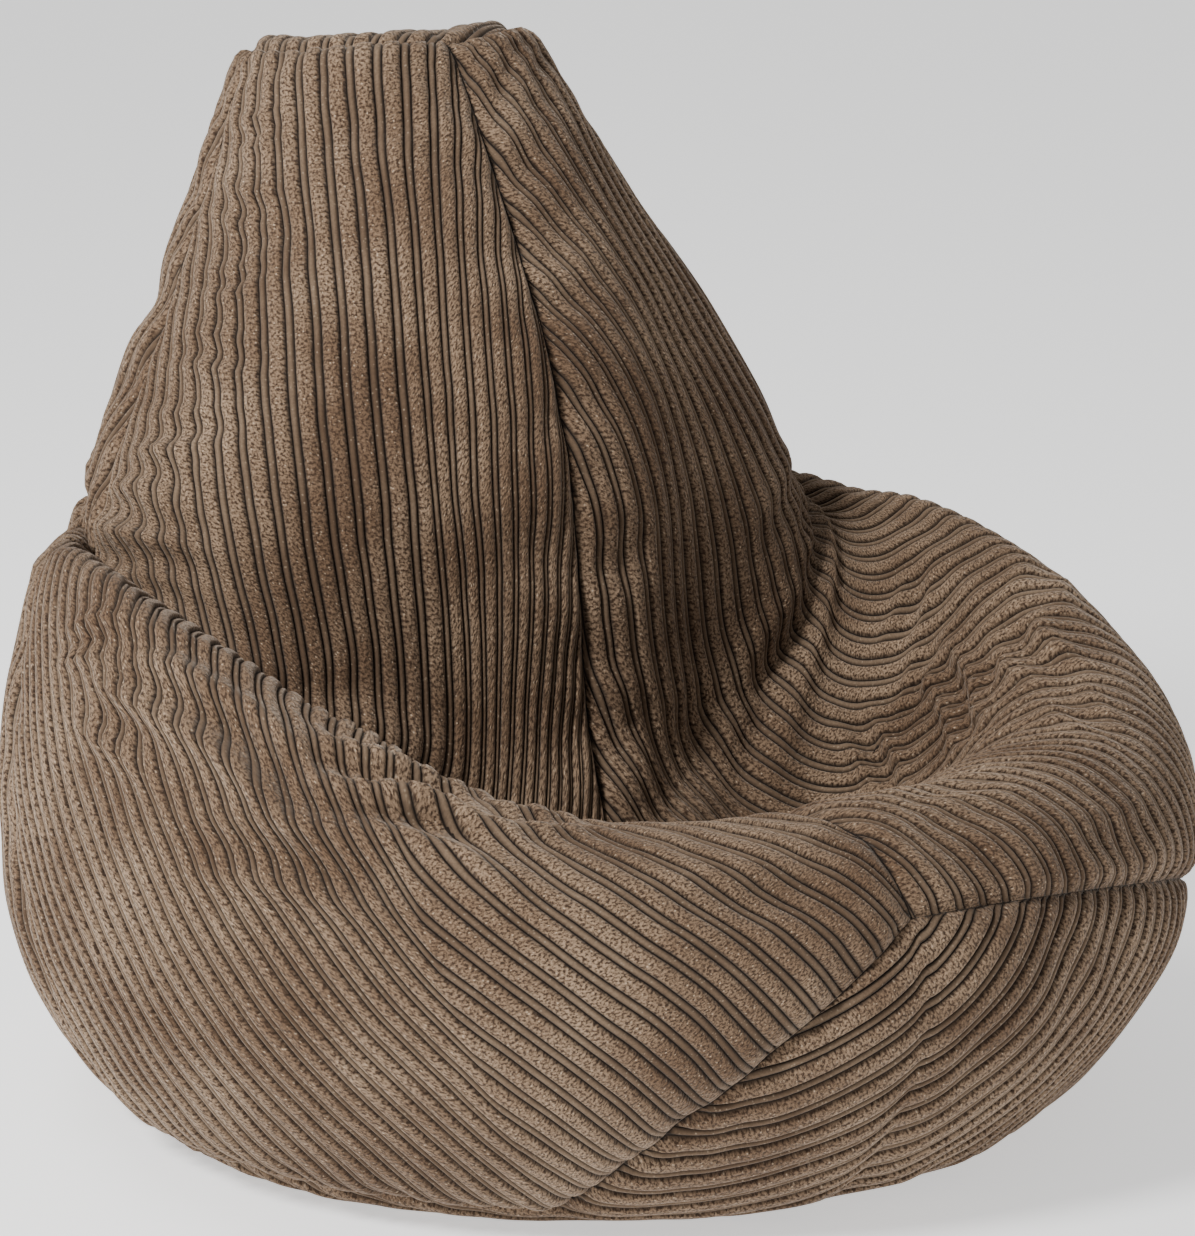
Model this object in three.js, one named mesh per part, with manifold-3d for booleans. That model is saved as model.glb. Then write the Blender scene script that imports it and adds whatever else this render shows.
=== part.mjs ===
// Pear-shaped bean bag chair in jumbo corduroy: a sewn cover with a high back and a
// pressed seat hollow, a zipped inner liner and a loose bead fill.
// Millimetres, +Z up, seat opening towards -Y, origin on the floor under the middle.
import * as THREE from 'three';
import { mergeVertices } from 'three/addons/utils/BufferGeometryUtils.js';
import Module from 'manifold-3d';

const wasm = await Module();
wasm.setup();

// ---------------------------------------------------------------- driving dimensions
const WIDTH = 912;
const DEPTH = 920;
const HEIGHT = 795;

const COVER_THICKNESS = 3.6;      // corduroy with its backing
const LINER_CLEARANCE = 4.0;      // cover to liner
const LINER_THICKNESS = 1.2;
const FILL_CLEARANCE = 0.8;       // liner to beads
const SEAM_GAP = 0.9;             // between two panels that are sewn together
const LINER_UNDERSIDE = 16;       // height of the liner's flat underside

const COVER_ZIP_LENGTH = 440;
const LINER_ZIP_LENGTH = 300;
const LINER_ZIP_Y = -90;
const CHANNEL_HALF_WIDTH = 13;    // recess in the base that holds the cover zip
const HEM_THICKNESS = 3;
const HEM_HEIGHT = 8;
const FIT_GAP = 0.3;              // between touching zip pieces

const TAPE_THICKNESS = 1.2;
const COIL = { width: 3.4, height: 2.4, halfGap: 1.0 };
const TAPE_INNER_EDGE = 2.6;
const LINER_TAPE_WIDTH = 12;
const STOP_LENGTH = 4;
const SLIDER = { length: 12, halfWidth: 6.5, plate: 1.3, postLength: 4, postHalfWidth: 0.7 };
const BAIL = { halfLength: 4, halfWidth: 0.8, thickness: 1.2, headroom: 1.6 };
const PULL = { length: 24, halfWidth: 2.6, thickness: 1.0, eyeHalfWidth: 1.2, eyeEnd: 5 };

const COLUMNS_PER_PANEL = 8;      // facets across each side panel
const CAP_ROWS = 3;               // facets from the cap's middle to its seam
const SIDE_ROWS = 26;             // from the cap seam to the base seam
const BASE_ROWS = 8;              // from the base seam to the base's middle
const LINER_SEAM_ROW = CAP_ROWS + 20;

// ---------------------------------------------------------------- shape of the filled bag
// The bag is a smooth skin over hoops, from the cap down the back, through the seat
// hollow, over the arms and front roll and under the base. Each hoop has its centre's y,
// its hub's y, its radius at front, left, right and back, and its height at the same four
// places. Azimuths are counted about the hub, which wanders slowly from hoop to hoop.
const HOOPS = [
  // cy, hub, front, left, right, back,  z front, left, right, back
  [318, 318, 0, 0, 0, 0, 764, 764, 764, 764],                    // cap centre
  [316, 316, 60, 60, 60, 60, 770, 764, 762, 752],                // cap
  [312, 312, 106, 108, 102, 104, 782, 770, 762, 742],            // cap rim
  [310, 304, 122, 124, 120, 118, 760, 744, 736, 716],            // just under the cap
  [288, 274, 146, 160, 166, 152, 690, 668, 664, 650],            // upper back
  [250, 228, 176, 218, 232, 190, 580, 560, 560, 590],            // middle of the back
  [212, 184, 194, 284, 298, 243, 452, 462, 470, 520],            // lower back
  [176, 152, 158, 308, 306, 284, 300, 396, 410, 480],            // small of the back
  [146, 136, 188, 322, 314, 318, 158, 362, 378, 455],            // seat crease
  [96, 126, 250, 340, 328, 371, 128, 362, 364, 435],             // seat floor
  [56, 116, 300, 366, 346, 413, 206, 416, 378, 410],             // inside of the arms and roll
  [26, 100, 346, 398, 362, 442, 318, 452, 394, 370],             // top of the arms and roll
  [8, 72, 428, 440, 416, 462, 298, 368, 340, 300],               // shoulder
  [0, 38, 460, 462, 462, 468, 210, 224, 224, 190],               // belly
  [0, 14, 438, 450, 446, 452, 120, 112, 112, 84],                // under the belly
  [0, 0, 342, 376, 352, 412, 0, 0, 0, 0],                        // edge of the ground contact
  [0, 0, 286, 312, 300, 330, 0, 0, 0, 0],
  [0, 0, 200, 200, 200, 200, 0, 0, 0, 0],
  [0, 0, 90, 90, 90, 90, 0, 0, 0, 0],
  [0, 0, 0, 0, 0, 0, 0, 0, 0, 0],                                // middle of the base
];
const LAST_HOOP = HOOPS.length - 1;
const FRONT_BLEND = [30, 100];    // azimuths between which front turns to side
const BACK_BLEND = [100, 168];    // azimuths between which side turns to back

// Seams: azimuth in degrees from the front, positive towards +X, at even steps from the
// cap seam to the base seam.
const FRONT_SEAM = [-4, -3, -5, -11, -5];
const RIGHT_SEAM = [100, 113, 118, 117, 112];
const BACK_SEAM = [180, 180, 180, 180, 180];
const LEFT_SEAM = [254, 248, 244, 252, 260];
const CAP_HOOP = 2.15;            // the cap seam lies along this hoop
const BASE_SEAM = { hoop: 15, lift: 2.45, corner: -5, leftSpread: 36, rightSpread: 125 };

const radians = (degrees) => degrees * Math.PI / 180;
const clamp01 = (x) => Math.min(1, Math.max(0, x));
const ease = (x) => clamp01(x) ** 2 * (3 - 2 * clamp01(x));

// Catmull-Rom curve through evenly spaced values, for 0 <= v <= 1.
function along(values, v) {
  const last = values.length - 1;
  const i = Math.min(Math.floor(v * last), last - 1);
  const t = v * last - i;
  const at = (k) => values[Math.min(Math.max(k, 0), last)];
  const [p, q, r, s] = [at(i - 1), at(i), at(i + 1), at(i + 2)];
  return q + 0.5 * t * (r - p + t * (2 * p - 5 * q + 4 * r - s + t * (3 * (q - r) + s - p)));
}

// The base panel's front corner is drawn up the belly, steeply on the left side of it.
function baseSeamHoop(azimuth) {
  const turn = ((azimuth + 180) % 360 + 360) % 360 - 180 - BASE_SEAM.corner;
  const rise = turn < 0 ? clamp01(1 + turn / BASE_SEAM.leftSpread) : 1 - ease(turn / BASE_SEAM.rightSpread);
  return BASE_SEAM.hoop - BASE_SEAM.lift * rise;
}

function hoopPoint(index, azimuth) {
  const [cy, hub, rf, rl, rr, rb, zf, zl, zr, zb] = HOOPS[index];
  const mean = (rf + rl + rr + rb) / 4;
  const a = radians(azimuth) - (mean > 0 ? Math.asin((cy - hub) / mean * Math.sin(radians(azimuth))) : 0);
  const wrapped = Math.acos(Math.cos(a)) * 180 / Math.PI;
  const front = 1 - ease((wrapped - FRONT_BLEND[0]) / (FRONT_BLEND[1] - FRONT_BLEND[0]));
  const back = ease((wrapped - BACK_BLEND[0]) / (BACK_BLEND[1] - BACK_BLEND[0]));
  const left = (1 - front - back) * (0.5 - 0.5 * Math.sin(a));
  const right = 1 - front - back - left;
  const r = front * rf + left * rl + right * rr + back * rb;
  const z = front * zf + left * zl + right * zr + back * zb;
  return [r * Math.sin(a), cy - r * Math.cos(a), z];
}

// Uniform cubic B-spline over the hoops; past each end it runs on down the far side.
function drawnPoint(azimuth, hoop) {
  const i = Math.min(Math.max(Math.floor(hoop), 0), LAST_HOOP - 1);
  const t = hoop - i;
  const weights = [(1 - t) ** 3, 3 * t ** 3 - 6 * t ** 2 + 4, -3 * t ** 3 + 3 * t ** 2 + 3 * t + 1, t ** 3];
  const sum = [0, 0, 0];
  weights.forEach((weight, k) => {
    let index = i + k - 1;
    let turned = azimuth;
    if (index < 0 || index > LAST_HOOP) {
      index = index < 0 ? -index : 2 * LAST_HOOP - index;
      turned += 180;
    }
    hoopPoint(index, turned).forEach((value, axis) => { sum[axis] += weight * value / 6; });
  });
  return new THREE.Vector3(...sum);
}

// ---------------------------------------------------------------- grid over the bag
// Every layer takes its corners from one grid over the skin, so that the layers nest.
// Columns go round, panel by panel; rows go from the cap's middle to the base's.
const nextTurn = (seam) => seam.map((azimuth) => azimuth + 360);
const PANELS = {
  front_right_panel: [FRONT_SEAM, RIGHT_SEAM],
  rear_right_panel: [RIGHT_SEAM, BACK_SEAM],
  rear_left_panel: [BACK_SEAM, LEFT_SEAM],
  front_left_panel: [LEFT_SEAM, nextTurn(FRONT_SEAM)],
};
const PANEL_SEAMS = Object.values(PANELS);
const COLUMNS = PANEL_SEAMS.length * COLUMNS_PER_PANEL;
const CAP_ROW = CAP_ROWS;
const BASE_ROW = CAP_ROW + SIDE_ROWS;
const LAST_ROW = BASE_ROW + BASE_ROWS;

function gridAzimuth(column, v) {
  const panel = Math.floor(column / COLUMNS_PER_PANEL) % PANEL_SEAMS.length;
  const [from, to] = PANEL_SEAMS[panel].map((seam) => along(seam, v));
  return from + (to - from) * (column / COLUMNS_PER_PANEL % 1);
}

function gridNode(column, row) {
  const v = clamp01((row - CAP_ROW) / SIDE_ROWS);
  const bottom = baseSeamHoop(gridAzimuth(column, 1));
  let hoop = CAP_HOOP + v * (bottom - CAP_HOOP);
  if (row < CAP_ROW) hoop = CAP_HOOP * row / CAP_ROWS;
  if (row > BASE_ROW) hoop = bottom + (LAST_HOOP - bottom) * (row - BASE_ROW) / BASE_ROWS;
  return { azimuth: gridAzimuth(column, v), hoop };
}

// The hoops are drawn near the real size; this brings the grid's box to it exactly.
function measureDrawnBag() {
  const box = new THREE.Box3();
  for (let row = 0; row <= LAST_ROW; row++) {
    for (let column = 0; column < COLUMNS; column++) {
      const { azimuth, hoop } = gridNode(column, row);
      box.expandByPoint(drawnPoint(azimuth, hoop));
    }
  }
  return box;
}
const DRAWN = measureDrawnBag();
const DRAWN_SIZE = DRAWN.getSize(new THREE.Vector3());
const DRAWN_CENTRE = DRAWN.getCenter(new THREE.Vector3());
const STRETCH = new THREE.Vector3(WIDTH, DEPTH, HEIGHT).divide(DRAWN_SIZE);
const DRAWN_ORIGIN = new THREE.Vector3(DRAWN_CENTRE.x, DRAWN_CENTRE.y, DRAWN.min.z);

function skinPoint(azimuth, hoop) {
  return drawnPoint(azimuth, hoop).sub(DRAWN_ORIGIN).multiply(STRETCH);
}

function skinNormal(azimuth, hoop) {
  const h = Math.min(Math.max(hoop, 0.05), LAST_HOOP - 0.05);
  const down = skinPoint(azimuth, h + 0.02).sub(skinPoint(azimuth, h - 0.02));
  const round = skinPoint(azimuth + 0.5, h).sub(skinPoint(azimuth - 0.5, h));
  return down.cross(round).normalize();
}

// A point at a depth under the skin, never lower than the given floor.
function layerPoint(azimuth, hoop, depth, floor = 0) {
  const point = skinPoint(azimuth, hoop).addScaledVector(skinNormal(azimuth, hoop), -depth);
  point.z = Math.max(point.z, floor);
  return point;
}

const millimetresPerHoop = (azimuth, hoop) =>
  skinPoint(azimuth, hoop + 0.01).distanceTo(skinPoint(azimuth, hoop - 0.01)) / 0.02;
const millimetresPerDegree = (azimuth, hoop) => skinPoint(azimuth + 0.5, hoop).distanceTo(skinPoint(azimuth - 0.5, hoop));

// A point of a layer at a grid node, moved off it by half a seam gap per step asked for.
function gridPoint(column, row, layer, stepAcross = 0, stepDown = 0) {
  const { azimuth, hoop } = gridNode(column, row);
  const across = stepAcross ? stepAcross * SEAM_GAP / 2 / millimetresPerDegree(azimuth, hoop) : 0;
  const down = stepDown ? stepDown * SEAM_GAP / 2 / millimetresPerHoop(azimuth, hoop) : 0;
  return layerPoint(azimuth + across, hoop + down, layer.depth, layer.floor);
}

// ---------------------------------------------------------------- closed bodies from the grid
function geometryOf(points, triangles) {
  const geometry = new THREE.BufferGeometry();
  geometry.setAttribute('position', new THREE.Float32BufferAttribute(points.flatMap((p) => p.toArray()), 3));
  geometry.setIndex(triangles.flat());
  geometry.computeVertexNormals();
  return geometry;
}

// A closed sheet over one panel: an outer and an inner grid, joined round the border.
function closedSheet(panel, outer, inner) {
  const columns = COLUMNS_PER_PANEL;
  const rows = SIDE_ROWS;
  const points = [];
  for (const layer of [outer, inner]) {
    for (let j = 0; j <= rows; j++) {
      for (let i = 0; i <= columns; i++) {
        const stepAcross = (i === 0) - (i === columns);
        const column = panel * columns + i - (i === columns ? 1e-6 : 0);
        points.push(gridPoint(column, CAP_ROW + j, layer, stepAcross, (j === 0) - (j === rows)));
      }
    }
  }
  const at = (side, i, j) => (side * (rows + 1) + j) * (columns + 1) + i;
  const triangles = [];
  const quad = (a, b, c, d) => triangles.push([a, b, c], [a, c, d]);
  for (let j = 0; j < rows; j++) {
    for (let i = 0; i < columns; i++) {
      quad(at(0, i, j), at(0, i, j + 1), at(0, i + 1, j + 1), at(0, i + 1, j));
      quad(at(1, i + 1, j + 1), at(1, i, j + 1), at(1, i, j), at(1, i + 1, j));
    }
    quad(at(0, 0, j), at(1, 0, j), at(1, 0, j + 1), at(0, 0, j + 1));
    quad(at(0, columns, j), at(0, columns, j + 1), at(1, columns, j + 1), at(1, columns, j));
  }
  for (let i = 0; i < columns; i++) {
    quad(at(0, i, 0), at(0, i + 1, 0), at(1, i + 1, 0), at(1, i, 0));
    quad(at(0, i, rows), at(1, i, rows), at(1, i + 1, rows), at(0, i + 1, rows));
  }
  return geometryOf(points, triangles);
}

// A closed body from stacked rings, each { row, layer, step }, whose first and last rows
// are poles. A quad's diagonal runs the same way over the skin in every layer.
function closedRings(rings) {
  const points = rings.flatMap(({ row, layer, step = 0 }, k) => {
    const count = k === 0 || k === rings.length - 1 ? 1 : COLUMNS;
    return Array.from({ length: count }, (_, column) => gridPoint(column, row, layer, 0, step));
  });
  const last = points.length - 1;
  const at = (ring, i) => ring === 0 ? 0 : ring === rings.length - 1 ? last : 1 + (ring - 1) * COLUMNS + i % COLUMNS;
  const triangles = [];
  for (let ring = 0; ring < rings.length - 1; ring++) {
    const rowsFall = rings[ring + 1].row >= rings[ring].row;
    for (let i = 0; i < COLUMNS; i++) {
      const [a, b, c, d] = [at(ring, i), at(ring + 1, i), at(ring + 1, i + 1), at(ring, i + 1)];
      const pair = rowsFall ? [[a, b, c], [a, c, d]] : [[a, b, d], [b, c, d]];
      triangles.push(...pair.filter((t) => new Set(t).size === 3));
    }
  }
  return geometryOf(points, triangles);
}

const rowsBetween = (from, to) =>
  Array.from({ length: Math.abs(to - from) + 1 }, (_, k) => from + k * Math.sign(to - from));

// A dish with a wall, from a pole row to an edge row and back on its inside.
function closedDish(poleRow, edgeRow, outer, inner) {
  const step = Math.sign(poleRow - edgeRow);
  const rings = (layer) => rowsBetween(poleRow, edgeRow).map((row) =>
    ({ row, layer, step: row === edgeRow ? step : 0 }));
  const [out, back] = poleRow === 0 ? [outer, inner] : [inner, outer];
  return closedRings([...rings(out), ...rings(back).reverse()]);
}

// ---------------------------------------------------------------- solids and booleans
function toSolid(geometry) {
  const bare = geometry.clone();
  bare.deleteAttribute('normal');
  bare.deleteAttribute('uv');
  const merged = mergeVertices(bare, 1e-4);
  return new wasm.Manifold(new wasm.Mesh({
    numProp: 3,
    vertProperties: new Float32Array(merged.attributes.position.array),
    triVerts: new Uint32Array(merged.index.array),
  }));
}

function fromSolid(solid) {
  const mesh = solid.getMesh();
  const geometry = new THREE.BufferGeometry();
  geometry.setAttribute('position', new THREE.BufferAttribute(new Float32Array(mesh.vertProperties), 3));
  geometry.setIndex(new THREE.BufferAttribute(new Uint32Array(mesh.triVerts), 1));
  geometry.computeVertexNormals();
  return geometry;
}

// A box given by its lowest and highest corners.
function block([x0, y0, z0], [x1, y1, z1]) {
  const geometry = new THREE.BoxGeometry(x1 - x0, y1 - y0, z1 - z0);
  return geometry.translate((x0 + x1) / 2, (y0 + y1) / 2, (z0 + z1) / 2);
}

const joined = (...geometries) => fromSolid(geometries.map(toSolid).reduce((whole, next) => whole.add(next)));

// ---------------------------------------------------------------- materials
const FINISH = {
  cover: { color: 0x8a7562, roughness: 0.95, metalness: 0 },
  liner: { color: 0xe6e2d8, roughness: 0.85, metalness: 0 },
  beads: { color: 0xf4f3ee, roughness: 0.9, metalness: 0 },
  tape: { color: 0x4a3b30, roughness: 0.9, metalness: 0 },
  coil: { color: 0x3b2f27, roughness: 0.5, metalness: 0 },
  metal: { color: 0x8c8478, roughness: 0.35, metalness: 1 },
};

const chair = new THREE.Group();

function place(name, finish, geometry, position = [0, 0, 0], parent = chair) {
  const mesh = new THREE.Mesh(geometry, new THREE.MeshStandardMaterial(FINISH[finish]));
  mesh.name = name;
  mesh.position.set(...position);
  parent.add(mesh);
}

// ---------------------------------------------------------------- cover
const coverOutside = { depth: 0, floor: 0 };
const coverInside = { depth: COVER_THICKNESS, floor: COVER_THICKNESS };
Object.keys(PANELS).forEach((name, panel) => place(name, 'cover', closedSheet(panel, coverOutside, coverInside)));
place('top_cap', 'cover', closedDish(0, CAP_ROW, coverOutside, coverInside));

// The base panel is cut in two by the zip channel, whose edges are hemmed upwards.
function baseHalves() {
  const dish = closedDish(LAST_ROW, BASE_ROW, coverOutside, coverInside);
  const halfSlot = COVER_ZIP_LENGTH / 2 + PULL.length;
  const channel = block([-halfSlot, -CHANNEL_HALF_WIDTH, -1], [halfSlot, CHANNEL_HALF_WIDTH, HEM_HEIGHT]);
  const slit = block([-WIDTH, -SEAM_GAP / 2, -1], [WIDTH, SEAM_GAP / 2, HEIGHT / 2]);
  const cut = toSolid(dish).subtract(toSolid(channel)).subtract(toSolid(slit));
  return [-1, 1].map((side) => {
    const inner = side * CHANNEL_HALF_WIDTH;
    const outer = side * (CHANNEL_HALF_WIDTH + HEM_THICKNESS);
    const [y0, y1] = [Math.min(inner, outer), Math.max(inner, outer)];
    const hem = block([-halfSlot, y0, 0], [halfSlot, y1, HEM_HEIGHT]);
    const keep = block([-WIDTH, side < 0 ? -DEPTH : 0, -1], [WIDTH, side < 0 ? 0 : DEPTH, HEIGHT]);
    return fromSolid(cut.intersect(toSolid(keep)).add(toSolid(hem)));
  });
}
const [baseFront, baseRear] = baseHalves();
place('base_front', 'cover', baseFront);
place('base_rear', 'cover', baseRear);

// ---------------------------------------------------------------- zips
// A zip lies along X about y = 0, with the underside of its tapes at z = 0 of its group.
const coilEnd = (length) => length / 2 - STOP_LENGTH - 2 * FIT_GAP;
const sliderStart = (length) => coilEnd(length) - FIT_GAP - SLIDER.length / 2;
const COIL_BOTTOM = -FIT_GAP - COIL.height;
const PLATE_TOP = COIL_BOTTOM - FIT_GAP;

function zipSlider() {
  const { length, halfWidth, plate, postLength, postHalfWidth } = SLIDER;
  const top = TAPE_THICKNESS + FIT_GAP;
  const upper = block([-length / 2, -halfWidth, top], [length / 2, halfWidth, top + plate]);
  const lower = block([-length / 2, -halfWidth, PLATE_TOP - plate], [length / 2, halfWidth, PLATE_TOP]);
  const post = block(
    [-postLength / 2, -postHalfWidth, PLATE_TOP - plate], [postLength / 2, postHalfWidth, top + plate]);
  return [upper, lower, post];
}

function zipBail() {
  const { halfLength, halfWidth, thickness, headroom } = BAIL;
  const plateBottom = PLATE_TOP - SLIDER.plate;
  const low = plateBottom - headroom - thickness;
  const bar = block([-halfLength, -halfWidth, low], [halfLength, halfWidth, low + thickness]);
  const legs = [-1, 1].map((side) => {
    const [x0, x1] = side < 0 ? [-halfLength, -halfLength + 1] : [halfLength - 1, halfLength];
    return block([x0, -halfWidth, low], [x1, halfWidth, plateBottom + SLIDER.plate / 2]);
  });
  return [bar, ...legs];
}

// The pull turns about its end bar, which lies along Y through the group's origin.
function zipPull() {
  const { length, halfWidth, thickness, eyeHalfWidth, eyeEnd } = PULL;
  const tab = block([-thickness / 2, -halfWidth, -thickness / 2], [length, halfWidth, thickness / 2]);
  const eye = block([thickness / 2, -eyeHalfWidth, -thickness], [eyeEnd, eyeHalfWidth, thickness]);
  return fromSolid(toSolid(tab).subtract(toSolid(eye)));
}

function zip(name, length, tapeWidth, origin, sliderPieces) {
  const group = new THREE.Group();
  group.position.set(...origin);
  chair.add(group);
  const coil = coilEnd(length);
  for (const [side, label] of [[-1, 'front'], [1, 'rear']]) {
    const strip = (inner, outer, x, z0, z1) => {
      const [y0, y1] = side < 0 ? [-outer, -inner] : [inner, outer];
      return block([-x, y0, z0], [x, y1, z1]);
    };
    const tape = strip(TAPE_INNER_EDGE, TAPE_INNER_EDGE + tapeWidth, length / 2, 0, TAPE_THICKNESS);
    const teeth = strip(COIL.halfGap, COIL.halfGap + COIL.width, coil, COIL_BOTTOM, -FIT_GAP);
    place(`${name}_tape_${label}`, 'tape', tape, undefined, group);
    place(`${name}_coil_${label}`, 'coil', teeth, undefined, group);
  }
  for (const [side, label] of [[1, 'closed'], [-1, 'open']]) {
    const near = coil + FIT_GAP;
    const [x0, x1] = side < 0 ? [-near - STOP_LENGTH, -near] : [near, near + STOP_LENGTH];
    const stop = block([x0, -COIL.halfGap - COIL.width, COIL_BOTTOM], [x1, COIL.halfGap + COIL.width, -FIT_GAP]);
    place(`${name}_stop_${label}`, 'metal', stop, undefined, group);
  }
  place(`${name}_slider`, 'metal', joined(...sliderPieces), [sliderStart(length), 0, 0], group);
  return group;
}

const COVER_TAPE_Z = HEM_HEIGHT + FIT_GAP;
const coverTapeWidth = CHANNEL_HALF_WIDTH + HEM_THICKNESS - TAPE_INNER_EDGE;
const coverZip = zip(
  'cover_zip', COVER_ZIP_LENGTH, coverTapeWidth, [0, 0, COVER_TAPE_Z], [...zipSlider(), ...zipBail()]);
const pullHeight = PLATE_TOP - SLIDER.plate - BAIL.headroom / 2;
place('cover_zip_pull', 'metal', zipPull(), [sliderStart(COVER_ZIP_LENGTH), 0, pullHeight], coverZip);

// The liner's zip has a slider without a pull, so that a child cannot open it.
const linerTapeZ = LINER_UNDERSIDE - FIT_GAP - TAPE_THICKNESS - SLIDER.plate - FIT_GAP;
zip('liner_zip', LINER_ZIP_LENGTH, LINER_TAPE_WIDTH, [0, LINER_ZIP_Y, linerTapeZ], zipSlider());

// ---------------------------------------------------------------- liner and beads
const linerDepth = COVER_THICKNESS + LINER_CLEARANCE;
const linerOutside = { depth: linerDepth, floor: LINER_UNDERSIDE };
const linerInside = { depth: linerDepth + LINER_THICKNESS, floor: LINER_UNDERSIDE + LINER_THICKNESS };
const beadSkin = {
  depth: linerInside.depth + FILL_CLEARANCE,
  floor: linerInside.floor + FILL_CLEARANCE,
};
place('liner_upper', 'liner', closedDish(0, LINER_SEAM_ROW, linerOutside, linerInside));
place('liner_lower', 'liner', closedDish(LAST_ROW, LINER_SEAM_ROW, linerOutside, linerInside));
place('bead_fill', 'beads', closedRings(rowsBetween(0, LAST_ROW).map((row) => ({ row, layer: beadSkin }))));

export default chair;
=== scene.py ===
"""Bean bag chair: a sewn jumbo corduroy cover over a liner full of beads.

The skin of the bag is the CAD model's own: a smooth surface over hoops, from the cap down
the back, through the seat, over the arms and front roll and under the base. A short cloth
simulation under pressure and a few laid folds give it life. Each panel of the cover is
then woven as rows of vertices that follow its ribs. Metres, +Z up, front towards -Y.
"""
import math

import bmesh
import bpy
import numpy as np
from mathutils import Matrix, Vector


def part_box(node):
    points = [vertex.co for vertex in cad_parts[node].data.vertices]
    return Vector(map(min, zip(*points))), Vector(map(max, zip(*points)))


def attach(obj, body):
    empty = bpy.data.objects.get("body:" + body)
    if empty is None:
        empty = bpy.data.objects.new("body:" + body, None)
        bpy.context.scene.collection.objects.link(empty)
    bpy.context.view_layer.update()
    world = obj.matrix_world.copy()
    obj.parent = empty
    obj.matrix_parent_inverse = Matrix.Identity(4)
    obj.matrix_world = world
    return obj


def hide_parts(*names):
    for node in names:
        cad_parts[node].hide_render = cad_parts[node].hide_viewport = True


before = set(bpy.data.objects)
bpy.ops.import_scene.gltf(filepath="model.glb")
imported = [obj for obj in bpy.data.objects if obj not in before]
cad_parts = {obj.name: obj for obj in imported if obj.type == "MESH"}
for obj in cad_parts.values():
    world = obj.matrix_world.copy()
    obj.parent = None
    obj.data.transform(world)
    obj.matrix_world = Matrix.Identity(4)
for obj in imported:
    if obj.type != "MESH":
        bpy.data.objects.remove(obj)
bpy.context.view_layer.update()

bl_info = {
    "name": "Corduroy Bean Bag Chair",
    "version": (1, 0, 0),
    "blender": (4, 5, 0),
    "location": "3D Viewport > Sidebar > Bean Bag",
    "description": "Builds a corduroy bean bag chair over its packed frame",
    "category": "Add Mesh",
}

MM = 0.001

# ---------------------------------------------------------------- skin of the filled bag
# Each hoop in mm: centre y, hub y, radius at front, left, right and back, and height at the
# same four places. Azimuths run about the hub, in degrees from the front towards +X.
HOOPS = np.array([
    [318, 318, 0, 0, 0, 0, 764, 764, 764, 764],                  # cap centre
    [316, 316, 60, 60, 60, 60, 770, 764, 762, 752],              # cap
    [312, 312, 106, 108, 102, 104, 782, 770, 762, 742],          # cap rim
    [310, 304, 122, 124, 120, 118, 760, 744, 736, 716],          # just under the cap
    [288, 274, 146, 160, 166, 152, 690, 668, 664, 650],          # upper back
    [250, 228, 176, 218, 232, 190, 580, 560, 560, 590],          # middle of the back
    [212, 184, 194, 284, 298, 243, 452, 462, 470, 520],          # lower back
    [176, 152, 158, 308, 306, 284, 300, 396, 410, 480],          # small of the back
    [146, 136, 188, 322, 314, 318, 158, 362, 378, 455],          # seat crease
    [96, 126, 250, 340, 328, 371, 128, 362, 364, 435],           # seat floor
    [56, 116, 300, 366, 346, 413, 206, 416, 378, 410],           # inside of arms and roll
    [26, 100, 346, 398, 362, 442, 318, 452, 394, 370],           # top of arms and roll
    [8, 72, 428, 440, 416, 462, 298, 368, 340, 300],             # shoulder
    [0, 38, 460, 462, 462, 468, 210, 224, 224, 190],             # belly
    [0, 14, 438, 450, 446, 452, 120, 112, 112, 84],              # under the belly
    [0, 0, 342, 376, 352, 412, 0, 0, 0, 0],                      # edge of ground contact
    [0, 0, 286, 312, 300, 330, 0, 0, 0, 0],
    [0, 0, 200, 200, 200, 200, 0, 0, 0, 0],
    [0, 0, 90, 90, 90, 90, 0, 0, 0, 0],
    [0, 0, 0, 0, 0, 0, 0, 0, 0, 0],                              # middle of the base
], float)
LAST_HOOP = len(HOOPS) - 1
SIZE = np.array([912.0, 920.0, 795.0])
FRONT_BLEND = (30.0, 100.0)      # azimuths between which front turns to side
BACK_BLEND = (100.0, 168.0)      # azimuths between which side turns to back

# Seams as azimuths at even steps from the cap seam to the base seam.
FRONT_SEAM = np.array([-4.0, -3, -5, -11, -5])
RIGHT_SEAM = np.array([100.0, 113, 118, 117, 112])
BACK_SEAM = np.array([180.0] * 5)
LEFT_SEAM = np.array([254.0, 248, 244, 252, 260])
PANELS = {
    "front_right_panel": (FRONT_SEAM, RIGHT_SEAM),
    "rear_right_panel": (RIGHT_SEAM, BACK_SEAM),
    "rear_left_panel": (BACK_SEAM, LEFT_SEAM),
    "front_left_panel": (LEFT_SEAM, FRONT_SEAM + 360),
}
PANEL_SEAMS = list(PANELS.values())
CAP_HOOP = 2.15                  # the cap seam lies along this hoop
BASE_HOOP, BASE_LIFT, BASE_CORNER = 15.0, 2.45, -5.0
BASE_LEFT_SPREAD, BASE_RIGHT_SPREAD = 36.0, 125.0

# Grids over the whole bag: columns in a panel, then rows of the cap, the sides and the base.
CAD_GRID = (8, 3, 26, 8)
SIM_GRID = (40, 6, 84, 16)
LAYER_GRID = (28, 4, 78, 14)
SIM_COLUMNS, SIM_CAP, SIM_SIDE, SIM_BASE = SIM_GRID

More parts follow.
